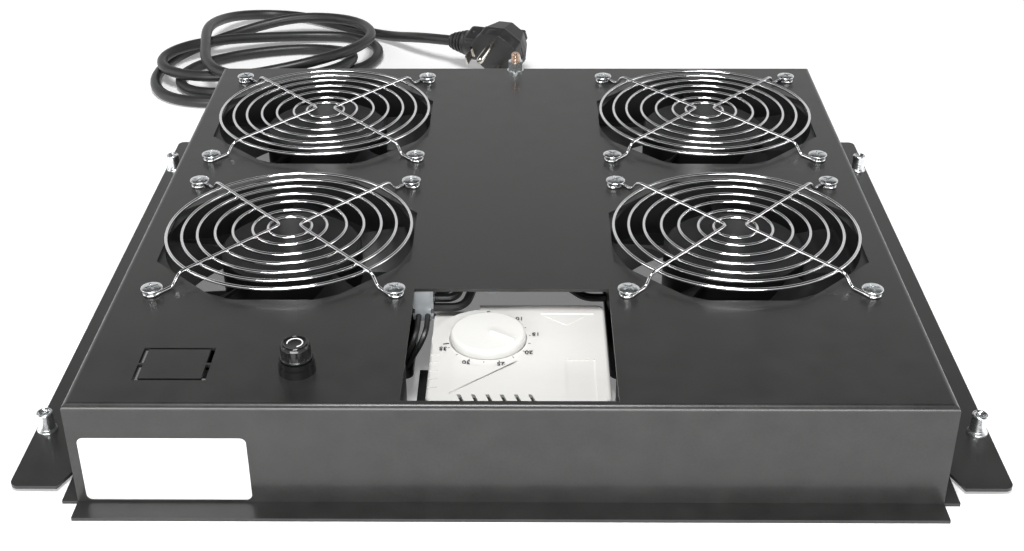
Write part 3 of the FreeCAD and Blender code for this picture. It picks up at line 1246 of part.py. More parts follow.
def mains_lead():
    """The free lead: a run to the coil, the loose coil itself and a run to the plug."""
    floor = "cord_radius"
    start = "tray_depth / 2 + relief_flange_length + relief_tail"
    exit_run = lead_points(
        ("relief_x", start, "relief_z"), ("relief_x", f"{start} + 23", "relief_z"), ("-31", "240.5", "12"),
        ("-47", "257.5", "4.5"), ("-74", "266.5", floor), ("-103", "264.5", floor))
    end = plug_point(-number("plug_neck_end + plug_relief_length"), number("plug_neck_back"), 0)
    heading = plug_placement().Rotation.multVec(V(-1, 0, 0))
    plug_run = lead_points(("-116", "353.5", "4.5"), ("-90", "338.5", "4.5")) + [end + heading * 22, end]
    print("plug run", [[round(c, 1) for c in p] for p in plug_run])
    for name, points in (("mains_cord_exit_run", exit_run), ("mains_cord_plug_run", plug_run)):
        shape, radii, exact = tube(points, number("cord_radius"), int(number("cord_sides")))
        print(name, "radii", [round(r, 1) for r in radii], "volume", round(shape.Volume), "of", round(exact))
        node(name, made(name + "_tube", shape))
    outer = ellipse("coil_outer", "coil_half_x", "coil_half_y")
    inner = ellipse("coil_inner", "coil_hole_x", "coil_hole_y")
    coil = cut("coil", outer, inner)
    node("mains_cord_coil", place(coil, "coil_x", "coil_y"))


def ellipse(name, half_x, half_y):
    """An upright elliptic block, longer along Y."""
    edge = doc.addObject("Part::Ellipse", name + "_edge")
    bind(edge, MajorRadius=half_y, MinorRadius=half_x)
    turn(edge, UP, 90)
    block = doc.addObject("Part::Extrusion", name)
    block.Base = edge
    block.DirMode = "Custom"
    block.Dir = UP
    block.Solid = True
    return bind(block, LengthFwd="coil_height")


def front_label():
    """Plain sticker on the front wall."""
    label = body("label")
    face = sketch(label, "face", "tray_depth / 2", "XZ_Plane")
    rectangle(face, "label_x - label_width / 2", "label_x + label_width / 2",
              "label_z - label_height / 2", "label_z + label_height / 2")
    sticker = pad(label, face, "label_sheet")
    fillet(label, sticker, "label_corner",
           lambda edge: edge.BoundBox.YLength > edge.BoundBox.XLength + edge.BoundBox.ZLength)
    return node("front_label", label)


# ---------------------------------------------------------------- the whole tray

def build():
    housing()
    for side, sign in SIDES:
        wing(side, sign)
    rivet_nuts()
    guard = guard_shape()
    for name, sx, sy in FANS:
        x, y = fan_x(sx), fan_y(sy)
        fan_frame(name, x, y)
        fan_stator(name, x, y)
        fan_impeller(name, x, y)
        fan_shaft(name, x, y)
        finger_guard(name, x, y, guard)
    fan_bearings()
    guard_screws()
    thermostat_bracket()
    thermostat_base()
    thermostat_cover()
    thermostat_dial()
    thermostat_inside()
    panel_screws()
    fuse_holder()
    earth_stud()
    terminal_strip()
    internal_leads()
    cable_ties()
    strain_relief()
    mains_lead()
    plug()
    front_label()
    doc.recompute()


def check():
    """Stops on any object or shape that failed."""
    for thing in doc.Objects:
        if {"Invalid", "Error"} & set(thing.State):
            raise ValueError(f"{thing.Name} failed")
    for thing in NODES:
        shape = thing.Shape
        if shape.isNull() or not shape.isValid() or not shape.Solids:
            raise ValueError(f"{thing.Label} has no valid solid")


def write():
    os.makedirs("parts", exist_ok=True)
    for thing in NODES:
        thing.Shape.exportStep(f"parts/{thing.Label}.step")


build()
check()
write()
print(len(NODES), "parts")
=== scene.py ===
"""Looks of the rack fan tray: camera, cord, wire guards, screws, plug, dial and materials."""
import math
import random

import bmesh
import bpy
from mathutils import Matrix, Vector


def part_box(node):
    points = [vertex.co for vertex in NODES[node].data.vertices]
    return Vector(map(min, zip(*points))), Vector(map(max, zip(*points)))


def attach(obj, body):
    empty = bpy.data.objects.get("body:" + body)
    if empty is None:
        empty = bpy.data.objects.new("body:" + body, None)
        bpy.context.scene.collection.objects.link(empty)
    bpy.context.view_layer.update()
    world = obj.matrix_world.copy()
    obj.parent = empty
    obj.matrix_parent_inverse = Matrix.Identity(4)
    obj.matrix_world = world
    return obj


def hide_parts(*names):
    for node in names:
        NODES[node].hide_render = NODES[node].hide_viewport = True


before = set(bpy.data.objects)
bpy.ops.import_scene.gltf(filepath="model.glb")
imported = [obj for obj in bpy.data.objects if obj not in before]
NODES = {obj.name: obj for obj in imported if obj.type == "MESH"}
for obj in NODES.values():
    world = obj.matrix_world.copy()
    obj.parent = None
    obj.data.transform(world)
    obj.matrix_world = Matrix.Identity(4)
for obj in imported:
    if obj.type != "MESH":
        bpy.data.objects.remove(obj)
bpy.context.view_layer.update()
random.seed(7)

# Lengths are in millimetres until mm(), mesh_of() or MM turns them into metres.
MM = 0.001
TOP = 48  # the tray's top face
FAN_X, FAN_Y, FAN_MIDDLE = 103, 67.5, 31
FANS = ("front_left", "front_right", "rear_left", "rear_right")
FAN_AT = {name: (FAN_X if "right" in name else -FAN_X, FAN_MIDDLE + (FAN_Y if "rear" in name else -FAN_Y))
          for name in FANS}
STUD_AT = (0, 166.5, 0)
RELIEF_AT = (-25, 172.5, 24)
FUSE_AT = (-84.5, -148)
NUT_X, NUT_Y = 197.5, 127  # half the rivet nuts' spacing
THERMOSTAT_AT = (3.4, -114.7)


def mm(*values):
    """Millimetres as a vector in metres."""
    return Vector(values) * MM


def add(name, data, at=(0, 0, 0), turn=None):
    """A new object at a place in millimetres."""
    thing = bpy.data.objects.new(name, data)
    bpy.context.scene.collection.objects.link(thing)
    place = Matrix.Translation(mm(*at))
    thing.matrix_world = place @ turn if turn else place
    return thing


# ---------------------------------------------------------------- camera

CAMERA_AT = (6.15, -621.4, 366)
YAW, ROLL = 0.011, -0.004
LOOK_DOWN = 30.09  # degrees below the horizon

camera = bpy.data.cameras.new("camera")
camera.lens = 50.42
camera.sensor_width = 36
camera.clip_start = 0.01
bpy.context.scene.camera = add("camera", camera, CAMERA_AT,
                               Matrix.Rotation(YAW, 4, "Z")
                               @ Matrix.Rotation(math.radians(90 - LOOK_DOWN), 4, "X")
                               @ Matrix.Rotation(ROLL, 4, "Z"))


# ---------------------------------------------------------------- mains cord

ROUTE = (
    # straight out of the strain relief, down to the floor and over to the coil
    (-25, 195.5, 24), (-25, 218.5, 24), (-31, 240.5, 12), (-47, 257.5, 4.5), (-74, 266.5, 3.5),
    (-103, 264.5, 3.5),
    # first turn, on the floor, rising at the right
    (-128, 254, 3.6), (-152, 238, 3.6), (-177, 226, 3.6), (-203, 223, 3.6), (-227, 233, 3.6),
    (-239, 256, 3.6), (-239, 284, 3.6), (-229, 312, 3.6), (-209, 336, 4), (-184, 351, 8), (-158, 357, 12),
    (-131, 354, 13), (-109, 339, 14.5), (-98, 311, 16.5), (-105, 284, 17.8), (-126, 263, 17.8),
    # second turn, flat, its right end on the floor
    (-151, 253, 15), (-178, 249, 11.5), (-205, 248, 11), (-229, 257, 11), (-239, 279, 11), (-229, 302, 11),
    (-203, 319, 10), (-175, 331, 7), (-146, 340, 4.5), (-117, 341, 3.6), (-98, 325, 3.6), (-94, 302, 3.6),
    (-104, 280, 3.6),
    # third turn, the smallest
    (-127, 268, 3.6), (-150, 257, 3.6), (-172, 245, 4), (-195, 237, 3.6), (-216, 244, 3.6),
    (-224, 265, 3.6), (-215, 288, 3.6), (-194, 304, 3.6), (-168, 314, 3.6), (-142, 318, 3.6), (-118, 309, 5),
    (-108, 286, 9.7), (-118, 261, 10.8),
    # last turn, over the others at the left, then out to the plug
    (-143, 244, 12), (-168, 232, 17), (-191, 238, 18), (-204, 260, 18), (-209, 288, 18), (-214, 317, 18),
    (-214, 346, 13), (-205, 372, 8), (-184, 386, 4), (-159, 382, 4), (-137, 369, 4),
    (-116, 353.5, 4.5), (-90, 338.5, 4.5), (-63.3, 307.4, 15.7), (-44.2, 296.6, 17.5),
)


def wire(name, runs, radius, rings=6, closed=False, steps=6):
    """A round wire or cord along one or more smooth lines.

    The thickness is each point's radius times the bevel depth. With a depth of 1 the radius says it all,
    and that is what the box of the finished curve goes by.
    """
    curve = bpy.data.curves.new(name, "CURVE")
    curve.dimensions = "3D"
    curve.bevel_depth = 1
    curve.bevel_resolution = rings
    curve.use_fill_caps = True
    for run in runs:
        spline = curve.splines.new("NURBS")
        spline.points.add(len(run) - 1)
        for point, place in zip(spline.points, run):
            point.co = (*mm(*place), 1)
            point.radius = radius * MM
        spline.order_u = 3
        spline.use_cyclic_u = closed
        spline.use_endpoint_u = not closed
        spline.resolution_u = steps
    return curve


# ---------------------------------------------------------------- materials

NOISE_SPAN = (0.3, 0.7)  # where nearly all of the mixed noise lies
CLOUD_SHARE, FINE_SHARE = 0.6, 0.4
CLOUD_SIZE = 12  # a cloud is this many times wider than the grain


def finish(name, colour, rough, metal=0.0, vary=0.06, rough_vary=0.06, grain=400, bump=0.0, bump_scale=2500,
           depth=0.02, **sockets):
    """A finish with uneven colour and roughness and a fine relief, from noise in the part's own frame."""
    mat = bpy.data.materials.new(name)
    mat.use_nodes = True
    tree = mat.node_tree
    link, new = tree.links.new, tree.nodes.new
    shader = tree.nodes["Principled BSDF"]
    shader.inputs["Metallic"].default_value = metal
    for socket, value in sockets.items():
        shader.inputs[socket.replace("_", " ")].default_value = value
    where = new("ShaderNodeTexCoord").outputs["Object"]

    def noise(scale, detail):
        node = new("ShaderNodeTexNoise")
        node.inputs["Scale"].default_value = scale
        node.inputs["Detail"].default_value = detail
        link(where, node.inputs["Vector"])
        return node.outputs["Fac"]

    cloud = noise(grain / CLOUD_SIZE, 3)
    fine = noise(grain, 5)
    both = new("ShaderNodeMath")
    both.operation = "MULTIPLY_ADD"
    link(cloud, both.inputs[0])
    both.inputs[1].default_value = CLOUD_SHARE
    blend = new("ShaderNodeMath")
    blend.operation = "MULTIPLY"
    link(fine, blend.inputs[0])
    blend.inputs[1].default_value = FINE_SHARE
    link(blend.outputs[0], both.inputs[2])
    ramp = new("ShaderNodeValToRGB")
    for stop, at, lift in zip(ramp.color_ramp.elements, NOISE_SPAN, (1 - vary, 1 + vary)):
        stop.position = at
        stop.color = tuple(min(1, c * lift) for c in colour) + (1,)
    link(both.outputs[0], ramp.inputs["Fac"])
    link(ramp.outputs["Color"], shader.inputs["Base Color"])
    span = new("ShaderNodeMapRange")
    span.inputs["From Min"].default_value, span.inputs["From Max"].default_value = NOISE_SPAN
    span.inputs["To Min"].default_value = max(0.02, rough - rough_vary)
    span.inputs["To Max"].default_value = min(1, rough + rough_vary)
    link(both.outputs[0], span.inputs["Value"])
    link(span.outputs["Result"], shader.inputs["Roughness"])
    if bump:
        relief = new("ShaderNodeBump")
        relief.inputs["Strength"].default_value = bump
        relief.inputs["Distance"].default_value = depth * MM
        link(noise(bump_scale, 2), relief.inputs["Height"])
        link(relief.outputs["Normal"], shader.inputs["Normal"])
    return mat


FINISHES = {
    "powder_coat": finish("powder_coat", (0.019, 0.0187, 0.0183), 0.38, vary=0.25, grain=900,
                          bump=0.6, bump_scale=1300, depth=0.04, Coat_Weight=0.3, Coat_Roughness=0.16,
                          Specular_IOR_Level=0.4),
    "fan_casting": finish("fan_casting", (0.012, 0.012, 0.0125), 0.42, vary=0.2, bump=0.3, bump_scale=1800),
    "fan_plastic": finish("fan_plastic", (0.009, 0.009, 0.01), 0.4, vary=0.2, bump=0.15, bump_scale=2200,
                          Specular_IOR_Level=0.25),
    "bright_wire": finish("bright_wire", (0.78, 0.78, 0.79), 0.1, 1, 0.04, 0.04, 700, 0.04, 900),
    "zinc": finish("zinc", (0.82, 0.84, 0.85), 0.26, 1, 0.08, 0.08, 900, 0.1, 1200),
    "motor_steel": finish("motor_steel", (0.24, 0.235, 0.23), 0.45, 0.9, 0.1, 0.08, 900, 0.2, 1500),
    "bearing_bronze": finish("bearing_bronze", (0.35, 0.2, 0.09), 0.35, 1, 0.1, 0.08, 900, 0.1, 1500),
    "copper": finish("copper", (0.52, 0.36, 0.27), 0.25, 1, 0.12, 0.08, 900, 0.1, 1500),
    "bracket_black": finish("bracket_black", (0.02, 0.02, 0.02), 0.4, vary=0.2, bump=0.3, bump_scale=1500),
    "grey_moulding": finish("grey_moulding", (0.78, 0.77, 0.745), 0.42, vary=0.02, bump=0.1,
                            bump_scale=2600, depth=0.01),
    "dial_moulding": finish("dial_moulding", (0.77, 0.765, 0.74), 0.34, vary=0.02, bump=0.06,
                            bump_scale=2600, depth=0.01),
    "clear_moulding": finish("clear_moulding", (0.7, 0.74, 0.77), 0.2, vary=0.04, bump=0.1, bump_scale=900,
                             Transmission_Weight=0.55, IOR=1.46),
    "tinned_brass": finish("tinned_brass", (0.7, 0.68, 0.6), 0.25, 1, 0.08, 0.06, 900, 0.1, 1500),
    "black_moulding": finish("black_moulding", (0.009, 0.009, 0.0095), 0.14, vary=0.2, bump=0.03,
                             bump_scale=1200),
    "fuse_glass": finish("fuse_glass", (0.85, 0.88, 0.88), 0.05, vary=0.02, Transmission_Weight=0.9),
    "black_rubber": finish("black_rubber", (0.022, 0.022, 0.023), 0.4, vary=0.2, grain=700, bump=0.25,
                           bump_scale=1300, depth=0.04),
    "nylon": finish("nylon", (0.7, 0.7, 0.68), 0.45, vary=0.05, bump=0.1, bump_scale=1500),
    "nickel": finish("nickel", (0.72, 0.69, 0.63), 0.2, 1, 0.08, 0.06, 900, 0.08, 1500),
    "label_white": finish("label_white", (0.6, 0.6, 0.605), 0.5, vary=0.01, bump=0.08, bump_scale=3000,
                          depth=0.01),
}
# two prints that aren't pieces of their own in the CAD
PRINT = finish("dial_print", (0.03, 0.03, 0.032), 0.5, vary=0.15, grain=1500)
MARK = finish("cap_mark", (0.8, 0.8, 0.8), 0.5, vary=0.05, grain=1500)
for part in NODES.values():
    for part_slot in part.material_slots:
        part_slot.material = FINISHES[part_slot.material.name.split(".")[0]]


# ---------------------------------------------------------------- mesh helpers

def mesh_of(name, bm, smooth=35):
    """The mesh of a bmesh in millimetres, in metres, smooth but for its sharp edges."""
    bmesh.ops.remove_doubles(bm, verts=bm.verts, dist=0.0005)
    bmesh.ops.recalc_face_normals(bm, faces=bm.faces)
    for face in bm.faces:
        face.smooth = smooth > 0
    for edge in bm.edges:
        if edge.is_manifold and edge.calc_face_angle() > math.radians(smooth):
            edge.smooth = False
    bmesh.ops.scale(bm, vec=(MM, MM, MM), verts=bm.verts)
    mesh = bpy.data.meshes.new(name)
    bm.to_mesh(mesh)
    bm.free()
    return mesh


def lathe(bm, profile, sides=40, turn=Matrix()):
    """Turn a closed outline of (radius, height) about Z; ends at radius 0 close in a point."""
    rows = []
    for radius, height in profile:
        if radius < 1e-6:
            rows.append([bm.verts.new(turn @ Vector((0, 0, height)))] * sides)
        else:
            rows.append([bm.verts.new(turn @ Vector((radius * math.cos(a), radius * math.sin(a), height)))
                         for a in (2 * math.pi * i / sides for i in range(sides))])
    for low, high in zip(rows, rows[1:]):
        for i in range(sides):
            j = (i + 1) % sides
            ring = []
            for vert in (low[i], low[j], high[j], high[i]):
                if vert not in ring:
                    ring.append(vert)
            if len(ring) > 2:
                bm.faces.new(ring)
    return bm


def rounded(profile, radius, steps=3):
    """The outline with each middle corner eased by an arc-like run of points."""
    out = [profile[0]]
    for before, here, after in zip(profile, profile[1:], profile[2:]):
        a, b, c = Vector(before), Vector(here), Vector(after)
        reach = min(radius, (a - b).length * 0.45, (c - b).length * 0.45)
        start, end = b + (a - b).normalized() * reach, b + (c - b).normalized() * reach
        for i in range(steps + 1):
            t = i / steps
            out.append(tuple((1 - t) ** 2 * start + 2 * t * (1 - t) * b + t * t * end))
    out.append(profile[-1])
    return out


def turned(name, profile, sides=40, turn=Matrix(), smooth=35):
    """The mesh of an outline turned about Z."""
    return mesh_of(name, lathe(bmesh.new(), profile, sides, turn), smooth)


def block(bm, size, at=(0, 0, 0), turn=Matrix(), bevel=0.0, steps=2, taper=1.0):
    """A box with rounded edges, whose top may be narrower than its foot."""
    made = bmesh.ops.create_cube(bm, size=1)["verts"]
    for vert in made:
        k = taper if vert.co.z > 0 else 1.0
        vert.co = Vector((vert.co.x * size[0] * k, vert.co.y * size[1] * k, vert.co.z * size[2]))
    if bevel:
        edges = {e for v in made for e in v.link_edges}
        made = bmesh.ops.bevel(bm, geom=list(edges), offset=bevel, segments=steps, profile=0.5,
                               affect="EDGES")["verts"]
    for vert in made:
        vert.co = Vector(at) + turn @ vert.co
    return made


def block_mesh(name, *where, **edges):
    """The sharp-edged mesh of one block."""
    bm = bmesh.new()
    block(bm, *where, **edges)
    return mesh_of(name, bm, 0)


def evaluated(thing, name):
    """The object's mesh with its modifiers applied; the object itself goes."""
    bpy.context.view_layer.update()
    mesh = bpy.data.meshes.new_from_object(thing.evaluated_get(bpy.context.evaluated_depsgraph_get()))
    mesh.name = name
    old = thing.data
    bpy.data.objects.remove(thing)
    if old.users == 0:
        (bpy.data.curves if isinstance(old, bpy.types.Curve) else bpy.data.meshes).remove(old)
    return mesh


def shaped(name, base, tools, operation="DIFFERENCE"):
    """The base mesh after booleans with the tool meshes."""
    thing = add(name, base)
    cutters = []
    for tool in tools:
        cutter = add(name + "_tool", tool)
        cutters.append(cutter)
        modifier = thing.modifiers.new("cut", "BOOLEAN")
        modifier.object = cutter
        modifier.operation = operation
        modifier.solver = "EXACT"
    mesh = evaluated(thing, name)
    for cutter in cutters:
        bpy.data.objects.remove(cutter)
    bm = bmesh.new()
    bm.from_mesh(mesh)
    for edge in bm.edges:
        edge.smooth = not (edge.is_manifold and edge.calc_face_angle() > math.radians(32))
    for face in bm.faces:
        face.smooth = True
    bm.to_mesh(mesh)
    bm.free()
    return mesh


def dress(thing, slot_name, body="tray", *nodes, material=None):
    """Give a piece its finish, its body and the CAD nodes that it stands for."""
    thing.data.materials.clear()
    thing.data.materials.append(material or FINISHES[slot_name])
    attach(thing, body)
    if nodes:
        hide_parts(*nodes)
    return thing


def copies(mesh, places):
    """One mesh holding the given one at each place."""
    bm = bmesh.new()
    for place in places:
        old = set(bm.verts)
        bm.from_mesh(mesh)
        bmesh.ops.transform(bm, matrix=place, verts=[v for v in bm.verts if v not in old])
    joined = bpy.data.meshes.new(mesh.name + "_set")
    bm.to_mesh(joined)
    bm.free()
    return joined


# ---------------------------------------------------------------- finger guards

WIRE = 1.6
RINGS = (56, 49, 42, 34, 26, 17, 10)
RING_HEIGHT = 4.8
WELD = 0.3  # how far the arms sink into the rings
LIE = RING_HEIGHT + WIRE - WELD
CORNER = 52.5  # half the screw spacing of a fan
LOOP = 3.4  # radius of the arms' screw loops


def circle_points(radius, height, count=24):
    """Control points of a closed smooth line that lies on the circle."""
    reach = radius / math.cos(math.pi / count) ** 2 * (1 - math.sin(math.pi / count) ** 2 / 2) ** 0.5
    return [(reach * math.cos(a), reach * math.sin(a), height)
            for a in (2 * math.pi * i / count for i in range(count))]


def guard_arm(side):
    """One bent arm from a screw loop over the rings, round its apex and back to the other screw."""
    apex = Vector((side * 4, 0, LIE))
    loop = Vector((side * (CORNER - LOOP), CORNER, WIRE / 2))
    heading = Vector((loop.x - apex.x, loop.y, 0)).normalized()
    half = [apex + Vector((side * 0.9, 0, 0)), apex + heading * 3, apex + heading * 7,
            apex + heading * 52, apex + heading * 58.6, loop - heading * 7, loop - heading * 3]
    turn_in = [loop + heading * 1.5, Vector((side * (CORNER - 1.2), CORNER + LOOP, WIRE / 2)),
               Vector((side * (CORNER + LOOP), CORNER + LOOP * 0.9, WIRE / 2)),
               Vector((side * (CORNER + LOOP), CORNER - LOOP * 0.9, WIRE / 2)),
               Vector((side * (CORNER + 0.4), CORNER - LOOP - 0.2, WIRE / 2)),
               Vector((side * (CORNER - LOOP + 0.9), CORNER - LOOP * 0.7, WIRE / 2))]
    far = half[1:] + turn_in
    return [(p.x, -p.y, p.z) for p in reversed(far)] + [tuple(half[0])] + [tuple(p) for p in far]


rings = wire("finger_guard", [circle_points(r, RING_HEIGHT) for r in RINGS], WIRE / 2, 3, closed=True,
             steps=4)
arms = wire("finger_guard_arms", [guard_arm(side) for side in (-1, 1)], WIRE / 2, 3)
guard_mesh = evaluated(add("guard_rings", rings), "guard_rings")
arm_mesh = evaluated(add("guard_arms", arms), "guard_arms")
guard = bmesh.new()
guard.from_mesh(guard_mesh)
guard.from_mesh(arm_mesh)
for face in guard.faces:
    face.smooth = True
guard.to_mesh(guard_mesh)
guard.free()
for name, (x, y) in FAN_AT.items():
    dress(add("wire_guard_" + name, guard_mesh, (x, y, TOP)), "bright_wire", "tray", "finger_guard_" + name)


# ---------------------------------------------------------------- screws, nuts and stud

HEAD_SEAT = TOP + WIRE + 0.05  # the heads sit on the arms' loops
NUT_FOOT, NUT_HEAD = TOP + 1, TOP + 6.4  # over a washer
CORNERS = [(sx, sy) for sx in (-1, 1) for sy in (-1, 1)]


def cross_cutters(width, length, depth, top):
    """Two blocks that cut a cross slot into a head whose crown is at top."""
    return [block_mesh("cross", (width, length, depth * 2), (0, 0, top),
                       Matrix.Rotation(math.radians(angle), 3, "Z"), taper=1.15) for angle in (0, 90)]


def thread(bore, depth, start, step, count):
    """Points of a thread's zigzag as (radius, height)."""
    return [(bore + depth * (i % 2), start + step * i) for i in range(count)]


head = rounded([(0, -7), (2.3, -7), (2.3, 0), (3.1, 0), (3.5, 0.5), (4.75, 1.0), (4.75, 1.75), (3.6, 2.15),
                (1.9, 2.35), (0, 2.4)], 0.25)
screw = shaped("guard_screw", turned("screw", head),
               cross_cutters(width=1.0, length=5.6, depth=1.3, top=2.4))
spots = [Matrix.Translation(mm(x + sx * CORNER, y + sy * CORNER, HEAD_SEAT))
         @ Matrix.Rotation(random.uniform(0, 1.5), 4, "Z")
         for x, y in FAN_AT.values() for sx, sy in CORNERS]
dress(add("guard_screw_set", copies(screw, spots)), "zinc", "tray", "guard_screws")

rim = rounded([(2.1, 0.7), (4.4, 0.7), (4.4, 1.5), (3.5, 1.5), (3.5, 3.0), (4.4, 3.0), (4.35, 3.9),
               (3.5, 4.8), (3.5, 12.1), (3.1, 12.5), (2.4, 12.5)], 0.2)
rivet_nut = turned("rivet_nut", rim + thread(2.1, 0.22, 12.2, -0.4, 28) + [rim[0]], 32, smooth=50)
spots = [Matrix.Translation(mm(sx * NUT_X, sy * NUT_Y, 0)) for sx, sy in CORNERS]
dress(add("rivet_nut_set", copies(rivet_nut, spots)), "zinc", "tray", "rivet_nuts")

pin = [(0, 39), (2.0, 39)] + thread(2.28, 0.2, 39.3, 0.4, 49) + [(2.05, 59), (1.7, 59.45), (0, 59.5)]
dress(add("earth_stud_threaded", turned("earth_stud_threaded", pin, 28, smooth=50), STUD_AT),
      "copper", "tray", "earth_stud")


def hex_nut(name, flats, low, high, bore):
    """A hexagon nut with its corners turned off at both ends."""
    point = flats / math.sqrt(3)
    prism = bmesh.new()
    bmesh.ops.create_cone(prism, cap_ends=True, segments=6, radius1=point, radius2=point, depth=high - low,
                          matrix=Matrix.Translation((0, 0, (low + high) / 2)))
    end, wide, ease = flats / 2 - 0.1, point + 0.05, 0.45
    rounding = [(0, low), (end, low), (wide, low + ease), (wide, high - ease), (end, high), (0, high)]
    hole = [(0, low - 1), (bore, low - 1), (bore, high + 1), (0, high + 1)]
    round_off, drill = turned("ease", rounding, 48, smooth=0), turned("hole", hole, 32, smooth=0)
    return shaped(name, shaped(name, mesh_of("prism", prism, 0), [round_off], "INTERSECT"), [drill])


nut = hex_nut("stud_nut_upper", 8, NUT_FOOT, NUT_HEAD, 2.5)
lower_nut = Matrix.Translation(mm(0, 0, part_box("earth_nuts")[0].z / MM - TOP - 1))
dress(add("earth_nut_upper", copies(nut, [lower_nut, Matrix()]), STUD_AT), "zinc", "tray", "earth_nuts")


# ---------------------------------------------------------------- strain relief, plug

BACK = Matrix.Rotation(math.radians(-90), 4, "X")  # lays an outline's axis along +Y
SIDE = Matrix.Rotation(math.radians(-90), 4, "Y")  # and along -X
PLUG_RADIUS = 18.5
PLUG_TILT = math.atan2(PLUG_RADIUS - 11.9, 19)  # it rests on its rim and its lower pin
PLUG = (Matrix.Rotation(math.radians(-28), 4, "Z") @ Matrix.Rotation(PLUG_TILT, 4, "X")
        @ Matrix.Rotation(math.radians(-5), 4, "Y"))
PLUG_AT = (-14, 268.5, PLUG_RADIUS * math.cos(PLUG_TILT))

outline = [(0, -6.5), (8, -6.5), (8, -1.5), (7, -1.5), (7, 0), (9, 0), (9, 2.4), (8.2, 3), (6.5, 3)]
for i in range(5):
    r, y = 6.5 - 0.36 * i, 4.2 + 3.6 * i
    outline += [(r, y), (r, y + 1.8), (r - 1.3, y + 2.1), (r - 1.3, y + 3.3)]
outline += [(4.5, 22.6), (4.3, 23), (0, 23)]
relief_mesh = turned("ribbed_relief", rounded(outline, 0.3, 2), turn=BACK)
relief = dress(add("ribbed_relief", relief_mesh, RELIEF_AT), "black_rubber", "tray", "strain_relief")


def plug_piece(name, mesh, slot_name, node):
    """A piece of the plug, its mesh already turned to the plug's pose."""
    mesh.transform(PLUG)
    return dress(add(name, mesh, PLUG_AT), slot_name, "tray", node)


# the octagonal shell, its round face, the sleeve towards the cord, the block that joins them, the ridge
SLEEVE = Matrix.Translation((0, 10, 0)) @ SIDE
shell = bmesh.new()
lathe(shell, [(0, 0), (18.2, 0), (18.45, 0.5), (18.45, 8.6), (17.8, 9.3), (13.0, 21.3), (12.2, 22),
              (0, 22)], 8, Matrix.Rotation(math.radians(22.5), 4, "Y") @ BACK)
lathe(shell, [(0, 0), (17.2, 0), (17.4, 0.5), (17.4, 5.5), (0, 5.5)], 64, BACK)
lathe(shell, [(0, -2), (9.5, -2), (9.3, 10), (8.6, 24), (7.9, 27.2), (0, 27.2)], 40, SLEEVE)
block(shell, (24, 15, 19), (-13, 10.5, 0), bevel=2)
block(shell, (22, 6, 7.4), (0, 22.6, 0), bevel=0.8)
ribs = [(0, 26)]
for i in range(4):
    r, x = 8.4 - 0.75 * i, 27.4 + 2.9 * i
    ribs += [(r, x), (r - 0.2, x + 1.5), (r - 2.0, x + 1.7), (r - 2.0, x + 2.8)]
ribs += [(5.0, 39), (4.9, 39.8), (4.4, 40), (0, 40)]
lathe(shell, ribs, 40, SLEEVE)
plug_base = add("plug_base", mesh_of("plug_base", shell))
remesh = plug_base.modifiers.new("join", "REMESH")
remesh.mode = "VOXEL"
remesh.voxel_size = 0.45 * MM
smooth = plug_base.modifiers.new("ease", "SMOOTH")
smooth.factor, smooth.iterations = 0.5, 3
plug_mesh = evaluated(plug_base, "plug_shell")
# a slot in the far side, a flat on each shoulder, the two clips' grooves, and a dimple
cutters = [block_mesh("plug_cut", size, at, Matrix.Rotation(math.radians(angle), 3, "Z"), bevel=0.4)
           for size, at, angle in (((2.2, 14, 13), (15.6, 9.5, 0), 0),
                                   ((12, 8, 30), (17.5, 22.5, 0), -38),
                                   ((12, 8, 30), (-18.5, 24.6, 0), 30),
                                   ((3.2, 10, 7.2), (18.2, 2, 0), 0),
                                   ((3.2, 10, 7.2), (-18.2, 2, 0), 0))]
dimple = bmesh.new()
bmesh.ops.create_uvsphere(dimple, u_segments=20, v_segments=12, radius=2.0,
                          matrix=Matrix.Translation((-20, 11, 9.9)))
cutters.append(mesh_of("dimple", dimple, 0))
plug = plug_piece("plug_shell", shaped("plug_shell", plug_mesh, cutters), "black_rubber", "plug_body")

PIN_Z = 9.5  # half the pins' spacing
prongs = bmesh.new()
for z in (-PIN_Z, PIN_Z):
    lathe(prongs, [(0, -1), (2.4, -1), (2.4, 16.6), (2.1, 17.9), (1.3, 18.8), (0, 19)], 28,
          Matrix.Translation((0, 0, z)) @ Matrix.Rotation(math.radians(90), 4, "X"))
prong_set = plug_piece("plug_prongs", mesh_of("plug_prongs", prongs), "nickel", "plug_pins")
clips = bmesh.new()
for side in (-1, 1):
    for size, at in (((0.9, 9, 6.6), (side * 18.3, -3.2, 0)), ((0.9, 3, 6.6), (side * 17.7, -7.2, 0)),
                     ((2.2, 0.9, 6.6), (side * 17.4, 0.9, 0))):
        block(clips, size, at, bevel=0.25)
clip_set = plug_piece("plug_clips", mesh_of("plug_clips", clips, 40), "nickel", "plug_earth_clips")
cord = dress(add("mains_cord", wire("mains_cord", [ROUTE], 3.5, steps=10)), "black_rubber", "tray",
             "mains_cord_exit_run", "mains_cord_coil", "mains_cord_plug_run")


# ---------------------------------------------------------------- fuse cap

CAP_AT = (*FUSE_AT, TOP + 3.4 + 2.4)  # on the holder's flange and collar
FLUTES = 14
ARC_RADIUS, ARC_HEIGHT = 3.1, 7.12

